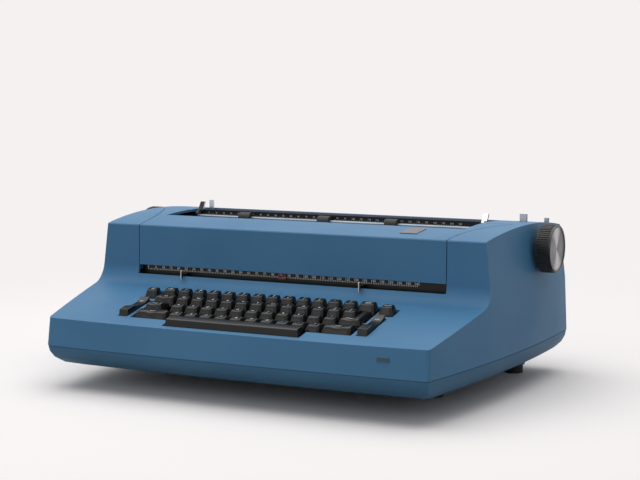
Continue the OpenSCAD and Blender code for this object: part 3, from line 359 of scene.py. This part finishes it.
knobAxis = at(0, 278, 155)  # the platen's, in the middle of the machine
along = {"x": (0.04, 1.0, 1.0), "y": (1.0, 0.04, 1.0), "z": (1.0, 1.0, 0.04), "none": (1.0, 1.0, 1.0)}
materials = {
    "shell_paint": texturedEnamel("texturedEnamelBlue", {
        "colour": "#467da5", "shade": "#4278a1", "fleck": "#538ab1", "rubbed": "#86aeca",
        "roughness": 0.5, "grainMm": 1.1, "depthMm": 0.1}),
    "pan_paint": texturedEnamel("texturedEnamelPan", {
        "colour": "#437699", "shade": "#3f7194", "fleck": "#4d80a3", "rubbed": "#7599b8",
        "roughness": 0.54, "grainMm": 1.1, "depthMm": 0.1}),
    "table_paint": texturedEnamel("satinEnamelDarkBlue", {
        "colour": "#4b627a", "shade": "#465c72", "fleck": "#556c84", "rubbed": "#7c8ea0",
        "roughness": 0.42, "grainMm": 0.9, "depthMm": 0.05}),
    "plate_slate": texturedEnamel("satinEnamelSlate", {
        "colour": "#3f5c6b", "shade": "#3a5562", "fleck": "#4a6877", "rubbed": "#6c8391",
        "roughness": 0.5, "grainMm": 0.6, "depthMm": 0.02}),
    "motor_paint": texturedEnamel("crackleEnamelGrey", {
        "colour": "#3a3c40", "shade": "#333539", "fleck": "#4a4c50", "rubbed": "#77797c",
        "roughness": 0.5, "grainMm": 2.0, "depthMm": 0.2}),
    "black_paint": texturedEnamel("satinEnamelBlack", {
        "colour": "#242427", "shade": "#1f1f22", "fleck": "#303033", "rubbed": "#6a6a6c",
        "roughness": 0.36, "grainMm": 0.6, "depthMm": 0.03}),
    "scale_black": texturedEnamel("satinEnamelScale", {
        "colour": "#131416", "shade": "#101113", "fleck": "#1b1c1e", "rubbed": "#48494b",
        "roughness": 0.38, "grainMm": 0.6, "depthMm": 0.02}),
    "white_paint": texturedEnamel("whiteEnamel", {
        "colour": "#efefec", "shade": "#e8e8e4", "fleck": "#f4f4f1", "rubbed": "#b9bab8",
        "roughness": 0.35, "grainMm": 0.6, "depthMm": 0.02}),
    "key_plastic": mouldedAbs("mouldedAbsCharcoal", {
        "colour": "#151514", "shade": "#11110f", "rubbed": "#2c2c2b", "edge": 0.3,
        "roughness": 0.24, "specular": 0.28, "grainMm": 0.35, "depthMm": 0.03}),
    "black_plastic": mouldedAbs("mouldedAbsBlack", {
        "colour": "#1d1d1f", "shade": "#18181a", "rubbed": "#3d3d3f", "edge": 0.4,
        "roughness": 0.42, "grainMm": 0.5, "depthMm": 0.03}),
    "knob_plastic": mouldedAbs("mouldedPhenolicBlack", {
        "colour": "#131312", "shade": "#0f0f0e", "rubbed": "#3c3a37", "edge": 0.5,
        "roughness": 0.34, "grainMm": 0.5, "depthMm": 0.03}),
    "red_plastic": mouldedAbs("castAcrylicRed", {
        "colour": "#a3174a", "shade": "#8f1240", "rubbed": "#cf5a80", "edge": 0.4,
        "roughness": 0.22, "grainMm": 0.6, "depthMm": 0.01}),
    "bright_chrome": tooledMetal("polishedChrome", {
        "colour": "#dcdde0", "shade": "#cccfd2", "stretch": along["z"],
        "roughness": 0.24, "lineMm": 0.8, "depthMm": 0.001}),
    "satin_chrome": tooledMetal("satinChrome", {
        "colour": "#c4c5ca", "shade": "#b9babf", "stretch": along["z"],
        "roughness": 0.4, "lineMm": 0.8, "depthMm": 0.002}),
    # Dark steel; on the levers' right flanks it stands as painted shade
    "sheared_steel": tooledMetal("shearedSteelDark", {
        "colour": "#54565b", "shade": "#494b50", "stretch": along["z"],
        "roughness": 0.5, "lineMm": 0.5, "depthMm": 0.02}),
    "badge_metal": tooledMetal("brushedAluminiumBare", {
        "colour": "#7d7e84", "shade": "#6c6c71", "stretch": along["x"],
        "roughness": 0.4, "lineMm": 0.4, "depthMm": 0.02}),
    "bail_rod": tooledMetal("drawnSteelDull", {
        "colour": "#8f9aa6", "shade": "#7f8a96", "stretch": along["x"],
        "roughness": 0.45, "lineMm": 0.6, "depthMm": 0.01}),
    "plain_steel": tooledMetal("groundSteel", {
        "colour": "#b4b6b9", "shade": "#a3a5a8", "stretch": along["none"],
        "roughness": 0.3, "lineMm": 0.5, "depthMm": 0.01}),
    "frame_steel": tooledMetal("zincPlatedSteel", {
        "colour": "#a6a9ad", "shade": "#8f9399", "stretch": along["x"],
        "roughness": 0.42, "lineMm": 1.2, "depthMm": 0.02}),
    "cast_alloy": tooledMetal("castAluminium", {
        "colour": "#a8a9ac", "shade": "#96979a", "stretch": along["none"],
        "roughness": 0.48, "lineMm": 0.8, "depthMm": 0.05}),
    "type_plating": tooledMetal("nickelPlate", {
        "colour": "#c3c1bb", "shade": "#b2b0aa", "stretch": along["none"],
        "roughness": 0.28, "lineMm": 0.5, "depthMm": 0.01}),
    "platen_rubber": groundRubber("groundRubberBlack", {
        "colour": "#1b1b1c", "dust": "#2c2c2d",
        "roughness": 0.6, "grainMm": 0.8, "ringMm": 1.5, "depthMm": 0.02}),
    # Black rubber, darkened further as painted shade for the shadow that the feet stand in
    "foot_rubber": groundRubber("mouldedRubberBlack", {
        "colour": "#0d0d0d", "dust": "#1a1a1a",
        "roughness": 0.8, "grainMm": 0.8, "ringMm": 2.0, "depthMm": 0.03}),
    "belt_rubber": groundRubber("beltRubber", {
        "colour": "#141414", "dust": "#232323",
        "roughness": 0.7, "grainMm": 0.7, "ringMm": 2.0, "depthMm": 0.03}),
    "spun_aluminium": spunAluminium("spunAluminium", {
        "colour": "#77777a", "shade": "#5a5a5d", "wedge": "#bcbcbf", "wedgeTurn": 2.9,
        "roughness": 0.32, "ringMm": 0.8, "depthMm": 0.05, "centre": tuple(knobAxis)}),
}
legendWhite = printedWhite("legendWhite", {
    "colour": "#f6f6f4", "worn": "#dededa", "roughness": 0.45, "patchMm": 0.9})
for node, piece in cad.items():
    dress(piece, materials[slotOf[node]])
print("materials made:", len(materials) + 1)

# Castings and mouldings whose edges are rounded, no further than their shortest edge lets them: piece name,
# edge radius in mm, segments
castings = {
    "top_shell": ("shellCasting", 0.8, 2),
    "lid": ("lidCasting", 0.8, 2),
    "bottom_pan": ("panCasting", 0.8, 2),
    "paper_table": ("paperTable", 0.5, 2),
    "space_bar": ("spaceBar", 0.7, 3),
    "tab_set_rocker": ("tabSetRocker", 0.6, 2),
    "power_rocker": ("powerRocker", 0.6, 2),
    "lid_badge": ("lidBadge", 0.25, 2),
    "paper_bail": ("paperBail", 0.3, 2),
    "paper_release_lever": ("paperReleaseLever", 0.3, 2),
    "copy_control_lever": ("copyControlLever", 0.3, 2),
    "line_space_lever": ("lineSpaceLever", 0.3, 2),
    "margin_stop_left": ("marginStopLeft", 0.15, 2),
    "margin_stop_right": ("marginStopRight", 0.15, 2),
    "carrier_pointer": ("carrierPointer", 0.2, 2),
}
for node, (name, edge, segments) in castings.items():
    softened(node, name, edge, segments, materials[slotOf[node]])
print("castings rounded:", len(castings))

# The small bare plate that stands proud of the fascia, in mm, and how long a margin stop's white tip is
plate = {"left": 177.5, "right": 191.5, "bottom": 64.8, "top": 69.2, "behind": 8.0, "slack": 0.05}
whiteTip = 1.9
sideways = 0.5  # a face is a lever's right flank when its normal has more than this much of x


def onPlate(face, mesh):
    points = [mesh.vertices[i].co / mm for i in face.vertices]
    return all(plate["left"] - plate["slack"] < p.x < plate["right"] + plate["slack"]
               and plate["bottom"] - plate["slack"] < p.z < plate["top"] + plate["slack"]
               and p.y - caseFront < plate["behind"] for p in points)


def refinish(name, material, test):  # lays a second finish on the faces that pass the test
    piece = bpy.data.objects[name]
    piece.data.materials.append(material)
    for face in piece.data.polygons:
        if test(face, piece.data):
            face.material_index = len(piece.data.materials) - 1


# The fascia's plate is dull, the plated levers' right flanks get a dark steel as painted shade, and the stops
# are white at the tip
refinish("shellCasting", materials["plate_slate"], onPlate)
for name in ("paperReleaseLever", "lineSpaceLever"):
    dress(bpy.data.objects[name], materials["satin_chrome"])
    # Each lever's right flank is darkened as painted shade
    refinish(name, materials["sheared_steel"], lambda face, mesh: face.normal.x > sideways)
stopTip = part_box("margin_stop_left")[0][1] + whiteTip * mm
for name in ("marginStopLeft", "marginStopRight"):
    refinish(name, materials["scale_black"], lambda face, mesh: face.center.y > stopTip)

# The bail's rod is bare steel and the rest is black, but for chrome laid as a painted highlight on the left
# finger lever's inner flank and all over the right one, whose outer flank stays black as painted shade; in mm
# from the rod's axis
bail = {"rodReach": 2.4, "leversFrom": 9.4}
rodLow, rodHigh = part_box("bail_rollers")
rodY = (rodLow[1] + rodHigh[1]) / 2
rodZ = (rodLow[2] + rodHigh[2]) / 2


def onRod(face, mesh):
    return math.hypot(face.center.y - rodY, face.center.z - rodZ) < bail["rodReach"] * mm


def onPlatedLever(face, mesh):
    raised = face.center.z > rodZ + bail["leversFrom"] * mm
    return raised and not onRod(face, mesh) and (face.normal.x > sideways) == (face.center.x < 0)


refinish("paperBail", materials["bail_rod"], onRod)
# Chrome on these flanks is a painted highlight; the flanks left black are painted shade
refinish("paperBail", materials["bright_chrome"], onPlatedLever)
print("second finishes laid on")

# Key caps keep the CAD's shape, with the large soft edges of a two-shot moulding; in mm and degrees
keyboard = {
    "pitch": 19.05, "firstKey": -106.5, "outerEdge": 135.2, "gap": 1.0, "lockWidth": 24.0,
    "sideKeyX": 148.5, "sideKeyY": 94.0, "capWidth": 18.0, "capDepth": 17.4, "capBelow": 4.0,
    "rise": 16.4, "tilt": 10.0, "topRow3": 97.8, "row3": 58.8,
    "deckFront": 80.0, "deckStart": 8.0, "deckSlope": 12.6,
    "skirt": 2.0, "drawIn": 2.5, "cornerRound": 4.6, "cornerSegments": 5,
    "rimRound": 2.3, "rimAngles": (15, 35, 60, 90), "dishRadius": 26.0, "dishDepth": 0.9,
    "hollowCuts": (-6.8, -5, -3.3, -1.6, 0, 1.6, 3.3, 5, 6.8), "capSmooth": 50,
    "leverEdge": 0.15, "leverCrease": 40, "leverSmooth": 34, "cutSide": 0.1, "cutBelow": 0.02,
}
keyNodes = [f"key_column_{n}" for n in range(1, 12)] + [
    "shift_left", "shift_right", "shift_lock", "tab_key", "express_key", "margin_release_key",
    "backspace_key", "return_key", "index_key"]


def camel(node, ending):
    words = node.split("_")
    return words[0] + "".join(word.title() for word in words[1:]) + ending


def keyTop(y):  # height of a cap's top in the middle of a key at y
    return keyboard["topRow3"] + (y - keyboard["row3"]) * math.tan(math.radians(keyboard["rise"]))


def capFoot(y):  # underside of a cap, level and a little below the deck
    deck = keyboard["deckFront"] + (y - keyboard["deckStart"]) * math.tan(math.radians(keyboard["deckSlope"]))
    return deck - keyboard["capBelow"]


def isUpright(edge, mesh):
    first, second = (mesh.vertices[i].co for i in edge.vertices)
    return abs(first.z - second.z) > mm


def modelCap(x0, x1, y, depth):  # hollowed top, soft corners, sides drawn in on the way up
    width = x1 - x0
    foot = capFoot(y)
    height = keyTop(y) - foot
    skirt = keyboard["skirt"]
    rim = keyboard["rimRound"]
    bpy.ops.object.select_all(action="DESELECT")
    bpy.ops.mesh.primitive_cube_add(size=1, location=(0, 0, skirt / 2 * mm),
                                    scale=(width * mm, depth * mm, skirt * mm))
    cap = bpy.context.object
    settle(cap)
    editWith(cap, "EDGE", isUpright)
    bpy.ops.mesh.bevel(offset=keyboard["cornerRound"] * mm, segments=keyboard["cornerSegments"],
                       affect="EDGES")
    closeEdit()
    editWith(cap, "FACE", lambda face, mesh: face.normal.z > facing)
    level = skirt
    inset = 0
    for angle in keyboard["rimAngles"]:
        newLevel = height - rim * (1 - math.sin(math.radians(angle)))
        newInset = keyboard["drawIn"] + rim * (1 - math.cos(math.radians(angle)))
        narrower = (width - 2 * newInset) / (width - 2 * inset)
        shorter = (depth - 2 * newInset) / (depth - 2 * inset)
        bpy.ops.mesh.extrude_region_move(TRANSFORM_OT_translate={"value": (0, 0, (newLevel - level) * mm)})
        bpy.ops.transform.resize(value=(narrower, shorter, 1), center_override=(0, 0, 0))
        level = newLevel
        inset = newInset
    for x in keyboard["hollowCuts"]:
        bpy.ops.mesh.select_all(action="SELECT")
        bpy.ops.mesh.bisect(plane_co=(x * mm, 0, 0), plane_no=(1, 0, 0))
    closeEdit()
    slope = math.tan(math.radians(keyboard["tilt"]))
    fade = 3 * rim  # the hollow dies out this far below the top
    for vertex in cap.data.vertices:
        x, z = vertex.co.x / mm, vertex.co.z / mm
        hollow = max(keyboard["dishDepth"] - x ** 2 / (2 * keyboard["dishRadius"]), 0)
        nearTop = min(max((z - height + fade) / fade, 0), 1)
        tipped = vertex.co.y * slope * max((z - skirt) / (height - skirt), 0)
        vertex.co.z += tipped - hollow * nearTop * mm
    smooth(cap, keyboard["capSmooth"])
    cap.location = at((x0 + x1) / 2, y, foot)
    settle(cap)
    return cap


def leverOnly(node, name, caps):  # the CAD levers and rails, with the plain caps taken off their posts
    piece = mergedCopy(node, name)
    side = keyboard["cutSide"]

    def inCap(point):
        x, y, z = point.x / mm, point.y / mm - caseFront, point.z / mm
        return any(x0 - side < x < x1 + side and abs(y - middle) < depth / 2 + side
                   and z > capFoot(middle) - keyboard["cutBelow"] for x0, x1, middle, depth in caps)

    editWith(piece, "FACE", lambda face, mesh: all(inCap(mesh.vertices[i].co) for i in face.vertices))
    bpy.ops.mesh.delete(type="FACE")
    bpy.ops.mesh.select_all(action="SELECT")
    bpy.ops.mesh.fill_holes(sides=0)  # holes of any size
    closeEdit()
    modify(piece, "BEVEL", width=keyboard["leverEdge"] * mm, segments=1, limit_method="ANGLE",
           angle_limit=math.radians(keyboard["leverCrease"]))
    smooth(piece, keyboard["leverSmooth"])
    return piece


# The rows of character keys, the back one first, and by how many keys each starts further right; the escapes
# are the signs for plus or minus, cent, a quarter and a half
rows = [
    {"y": 96.9, "shift": 0.0, "keys": ["\u00b1\n1", "@\n2", "#\n3", "$\n4", "%\n5", "\u00a2\n6", "&\n7",
                                       "*\n8", "(\n9", ")\n0", "_\n-", "+\n="]},
    {"y": 77.85, "shift": 0.5, "keys": list("QWERTYUIOP") + ["\u00bc\n\u00bd", "]\n["]},
    {"y": 58.8, "shift": 0.75, "keys": list("ASDFGHJKL") + [":\n;", "\"\n'"]},
    {"y": 39.75, "shift": 1.25, "keys": list("ZXCVBNM") + [",", ".", "?\n/"]},
]
backY, upperY, lowerY, frontY = (row["y"] for row in rows)


def keyX(row, i):
    return keyboard["firstKey"] + (i + rows[row]["shift"]) * keyboard["pitch"]


def columnNode(i):  # the keys past the eleventh share its node
    return f"key_column_{min(i, 10) + 1}"


# Every cap as left edge, right edge, middle from the front, and depth
halfCap = keyboard["capWidth"] / 2
beside = keyboard["pitch"] / 2 + keyboard["gap"] / 2  # from a key's middle to a wide key beside it
edgeX = keyboard["outerEdge"]
sideX = keyboard["sideKeyX"]
sideY = keyboard["sideKeyY"]
deep = keyboard["capDepth"]
capsOf = {node: [] for node in keyNodes}
for number, row in enumerate(rows):
    for i in range(len(row["keys"])):
        capsOf[columnNode(i)].append((keyX(number, i) - halfCap, keyX(number, i) + halfCap, row["y"], deep))
capsOf["tab_key"].append((-edgeX, keyX(1, 0) - beside, upperY, deep))
capsOf["shift_lock"].append((-edgeX, -edgeX + keyboard["lockWidth"], lowerY, deep))
capsOf["express_key"].append((-edgeX, keyX(0, 0) - beside, backY, deep))
capsOf["backspace_key"].append((keyX(0, 11) + beside, edgeX, backY, deep))
capsOf["shift_left"].append((-edgeX, keyX(3, 0) - beside, frontY, deep))
capsOf["shift_right"].append((keyX(3, 9) + beside, edgeX, frontY, deep))
capsOf["return_key"].append((keyX(2, 10) + beside, edgeX, lowerY, deep))
capsOf["return_key"].append((keyX(1, 11) + beside, edgeX, (upperY + lowerY) / 2, deep + keyboard["pitch"]))
capsOf["margin_release_key"].append((-sideX - halfCap, -sideX + halfCap, sideY, deep))
capsOf["index_key"].append((sideX - halfCap, sideX + halfCap, sideY, deep))
for node in keyNodes:
    name = camel(node, "Moulding")
    caps = [modelCap(*cap) for cap in capsOf[node]]
    piece = joinAll([leverOnly(node, name, capsOf[node])] + caps, name)
    finishPiece(piece, name, bodyOf[node], materials["key_plastic"], slotOf[node], node)
print("key caps moulded:", sum(len(caps) for caps in capsOf.values()))

# White words and figures, a tenth of a millimetre proud of what carries them; heights of a capital in mm
lettering = {"single": 3.3, "pair": 2.5, "word": 1.9, "rockerWord": 2.2, "halfThick": 0.06, "lift": 0.05,
             "capitalShare": 0.7}


def printText(words, heightMm, place, tilt, dished=False, boldMm=0.0):
    bpy.ops.object.select_all(action="DESELECT")
    bpy.ops.object.text_add(location=(0, 0, 0))
    text = bpy.context.object
    text.data.body = words
    text.data.size = heightMm * mm / lettering["capitalShare"]
    text.data.align_x = "CENTER"
    text.data.align_y = "CENTER"
    text.data.extrude = lettering["halfThick"] * mm
    text.data.offset = boldMm * mm
    text.data.resolution_u = 2
    bpy.ops.object.convert(target="MESH")
    text = bpy.context.object
    if dished:
        for vertex in text.data.vertices:
            rise = vertex.co.x ** 2 / (2 * keyboard["dishRadius"] * mm)
            vertex.co.z += min(rise, keyboard["dishDepth"] * mm)
    text.location = place
    text.rotation_euler = (math.radians(tilt), 0, 0)
    settle(text)
    return text


def capTop(x, y):  # the lowest line of a cap's hollow, in the middle of the key
    return at(x, y, keyTop(y) - keyboard["dishDepth"] + lettering["lift"])


legends = {node: [] for node in keyNodes}
for number, row in enumerate(rows):
    for i, words in enumerate(row["keys"]):
        height = lettering["pair"] if "\n" in words else lettering["single"]
        place = capTop(keyX(number, i), row["y"])
        legends[columnNode(i)].append(printText(words, height, place, keyboard["tilt"], dished=True))
# The words of the wide keys and where their middles are
wideLegends = {
    "tab_key": ("TAB", -121.1, upperY),
    "shift_lock": ("LOCK", -123.2, lowerY),
    "express_key": ("EX\nPRESS", -125.9, backY),
    "shift_left": ("SHIFT", -114.0, frontY),
    "shift_right": ("SHIFT", 117.0, frontY),
    "backspace_key": ("BACK\nSPACE", 124.1, backY),
    "return_key": ("RETURN", 121.8, lowerY),
    "margin_release_key": ("MAR\nREL", -sideX, sideY),
    "index_key": ("INDEX", sideX, sideY),
}
for node, (words, x, y) in wideLegends.items():
    legends[node].append(printText(words, lettering["word"], capTop(x, y), keyboard["tilt"], dished=True))
for node, words in legends.items():
    legend = joinAll(words, camel(node, "Legend"))
    finishPiece(legend, legend.name, bodyOf[node], legendWhite, "white_paint")
print("key legends made:", sum(len(row["keys"]) for row in rows) + len(wideLegends))

# Saddle of a rocker: an arc about a line above its middle, with a word at each end
rocker = {"middleY": 54.0, "radius": 38.0, "axisZ": 131.28, "lettersAt": 14.5}
rockerSlope = math.degrees(math.asin(rocker["lettersAt"] / rocker["radius"]))
rockerDrop = math.sqrt(rocker["radius"] ** 2 - rocker["lettersAt"] ** 2)
# The middle of each rocker across the machine, then its rear word and its front one
rockerWords = {"tab_set_rocker": (-148.0, "SET", "CLR"), "power_rocker": (148.0, "ON", "OFF")}
for node, (x, *words) in rockerWords.items():
    made = []
    for end, word in zip((1, -1), words):
        z = rocker["axisZ"] - rockerDrop + lettering["lift"]
        place = at(x, rocker["middleY"] + end * rocker["lettersAt"], z)
        made.append(printText(word, lettering["rockerWord"], place, rockerSlope * end))
    legend = joinAll(made, camel(node, "Legend"))
    finishPiece(legend, legend.name, bodyOf[node], legendWhite, "white_paint")
print("rocker legends made")

# Twelve units to the inch: a figure every fifth, a stroke at each
ruler = {"zeroX": -190.4, "unit": 2.1167, "units": 166, "every": 5, "strokeThick": 0.12}
marginScale = {"y": 147.0, "figureZ": 124.6, "figure": 2.9, "bold": 0.2, "strokeZ": 122.0,
               "strokeWidth": 0.85, "strokeHeight": 1.6}
bailScale = {"behindRollers": 0.8, "figureZ": 179.0, "figure": 2.0, "strokeZ": 177.1, "strokeWidth": 0.35,
             "strokeHeight": 0.8}
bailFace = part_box("bail_rollers")[1][1] / mm - caseFront + bailScale["behindRollers"]  # front of its flat bar


def rulerStrokes(y, z, widthMm, heightMm):
    bpy.ops.object.select_all(action="DESELECT")
    bpy.ops.mesh.primitive_cube_add(size=1, location=at(ruler["zeroX"], y, z),
                                    scale=(widthMm * mm, ruler["strokeThick"] * mm, heightMm * mm))
    stroke = bpy.context.object
    modify(stroke, "ARRAY", count=ruler["units"], use_relative_offset=False, use_constant_offset=True,
           constant_offset_displace=(ruler["unit"] * mm, 0, 0))
    settle(stroke)
    return stroke


def rulerFigures(first, y, z, heightMm, boldMm=0.0):
    made = []
    for number in range(first, ruler["units"], ruler["every"]):
        place = at(ruler["zeroX"] + number * ruler["unit"], y, z)
        made.append(printText(str(number), heightMm, place, 90, boldMm=boldMm))
    return made


scaleY = marginScale["y"] - lettering["lift"]
marks = rulerFigures(0, scaleY, marginScale["figureZ"], marginScale["figure"], marginScale["bold"])
marks.append(rulerStrokes(scaleY, marginScale["strokeZ"], marginScale["strokeWidth"],
                          marginScale["strokeHeight"]))
finishPiece(joinAll(marks, "scaleFigures"), "scaleFigures", bodyOf["margin_scale"], legendWhite,
            "white_paint")
barY = bailFace - lettering["lift"]
marks = rulerFigures(ruler["every"], barY, bailScale["figureZ"], bailScale["figure"])
marks.append(rulerStrokes(barY, bailScale["strokeZ"], bailScale["strokeWidth"], bailScale["strokeHeight"]))
finishPiece(joinAll(marks, "bailFigures"), "bailFigures", bodyOf["paper_bail"], legendWhite, "white_paint")
print("scale and bail figures made")

# Spun discs let into the knobs, each with a rim, fine turned steps and a dimple at its centre; an inset of
# the rim or the hub is its width and its height
inlay = {"radius": 24.5, "thick": 1.2, "sides": 96, "rim": ((0.5, -0.3), (0.9, 0.22)), "rings": 9,
         "ringWidth": 1.15, "ringStep": 0.07, "ringWall": 0.12, "hub": ((6.0, -0.1), (2.2, -0.35)),
         "smooth": 20}
inlayLow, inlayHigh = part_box("knob_inlays")
discs = []
for side in (-1, 1):
    bpy.ops.object.select_all(action="DESELECT")
    centre = (side * (inlayHigh[0] - inlay["thick"] / 2 * mm), knobAxis.y, knobAxis.z)
    bpy.ops.mesh.primitive_cylinder_add(vertices=inlay["sides"], radius=inlay["radius"] * mm,
                                        depth=inlay["thick"] * mm, location=centre,
                                        rotation=(0, math.radians(90), 0))
    disc = bpy.context.object
    settle(disc)
    editWith(disc, "FACE", lambda face, mesh: face.normal.x * side > facing)
    for width, height in inlay["rim"]:
        bpy.ops.mesh.inset(thickness=width * mm, depth=height * mm)
    for ring in range(inlay["rings"]):
        step = inlay["ringStep"] * mm * (-1 if ring % 2 else 1)
        bpy.ops.mesh.inset(thickness=inlay["ringWall"] * mm, depth=step)
        bpy.ops.mesh.inset(thickness=inlay["ringWidth"] * mm, depth=0)
    for width, height in inlay["hub"]:
        bpy.ops.mesh.inset(thickness=width * mm, depth=height * mm)
    closeEdit()
    smooth(disc, inlay["smooth"])
    discs.append(disc)
finishPiece(joinAll(discs, "knobInlayDiscs"), "knobInlayDiscs", bodyOf["knob_inlays"],
            materials["spun_aluminium"], "spun_aluminium", "knob_inlays")
print("knob inlays spun")

# Floor and backdrop: a white sweep, bright where it is seen and greyer in what it throws back on the machine
studio = {"floorSize": 60, "paper": "#fffdfc", "bounce": "#9a9695", "haze": "#f5f1f1", "nearFloor": 0.34,
          "farFloor": 1.1, "sky": 0.42}


def seenDirectly(tree):  # 1 for the camera and for what shows in metal and glass
    path = addNode(tree, "LightPath", {}).outputs
    mirrored = addNode(tree, "Math", {0: path["Is Glossy Ray"], 1: path["Is Transmission Ray"]},
                       operation="MAXIMUM")
    return addNode(tree, "Math", {0: path["Is Camera Ray"], 1: mirrored}, operation="MAXIMUM")


bpy.ops.object.select_all(action="DESELECT")
bpy.ops.mesh.primitive_plane_add(size=studio["floorSize"], location=(0, 0, 0))
floor = bpy.context.object
floor.name = "floor"
floorMaterial, tree, shader = startMaterial("paperSweep", Roughness=0.9, Specular_IOR_Level=0.1)
seen = seenDirectly(tree)
connect(tree, shader, {"Base Color": addNode(tree, "Mix", {
    0: seen, 6: hexColour(studio["bounce"]), 7: hexColour(studio["paper"])}, data_type="RGBA")})
distance = addNode(tree, "VectorMath", {0: objectPoint(tree)}, operation="LENGTH")
away = addNode(tree, "MapRange", {"Value": distance, "From Min": studio["nearFloor"],
                                  "From Max": studio["farFloor"]}, interpolation_type="SMOOTHSTEP")
hazeAmount = addNode(tree, "Math", {0: away, 1: seen}, operation="MULTIPLY")
haze = addNode(tree, "Emission", {"Color": hexColour(studio["haze"]), "Strength": 1.0})
surface = addNode(tree, "MixShader", {0: hazeAmount, 1: shader, 2: haze})
connect(tree, tree.nodes["Material Output"], {"Surface": surface})
dress(floor, floorMaterial)

world = bpy.data.worlds.new("studioWorld")
bpy.context.scene.world = world
world.use_nodes = True
tree = world.node_tree
strength = addNode(tree, "MapRange", {"Value": seenDirectly(tree), "To Min": studio["sky"]})
connect(tree, tree.nodes["Background"], {"Color": hexColour(studio["haze"]), "Strength": strength})

lamps = [
    {"name": "topSoftbox", "place": (-0.3, 0.25, 2.4), "aim": (0, 0, 0.1), "size": 3.2, "power": 52},
    {"name": "frontFill", "place": (-0.9, -2.6, 1.2), "aim": (0, 0, 0.1), "size": 1.6, "power": 7},
]
for lamp in lamps:
    place = Vector(lamp["place"])
    towards = Vector(lamp["aim"]) - place
    turn = towards.to_track_quat("-Z", "Y").to_euler()
    bpy.ops.object.light_add(type="AREA", location=place, rotation=turn)
    light = bpy.context.object
    light.name = lamp["name"]
    light.data.energy = lamp["power"]
    light.data.size = lamp["size"]
print("studio lit")
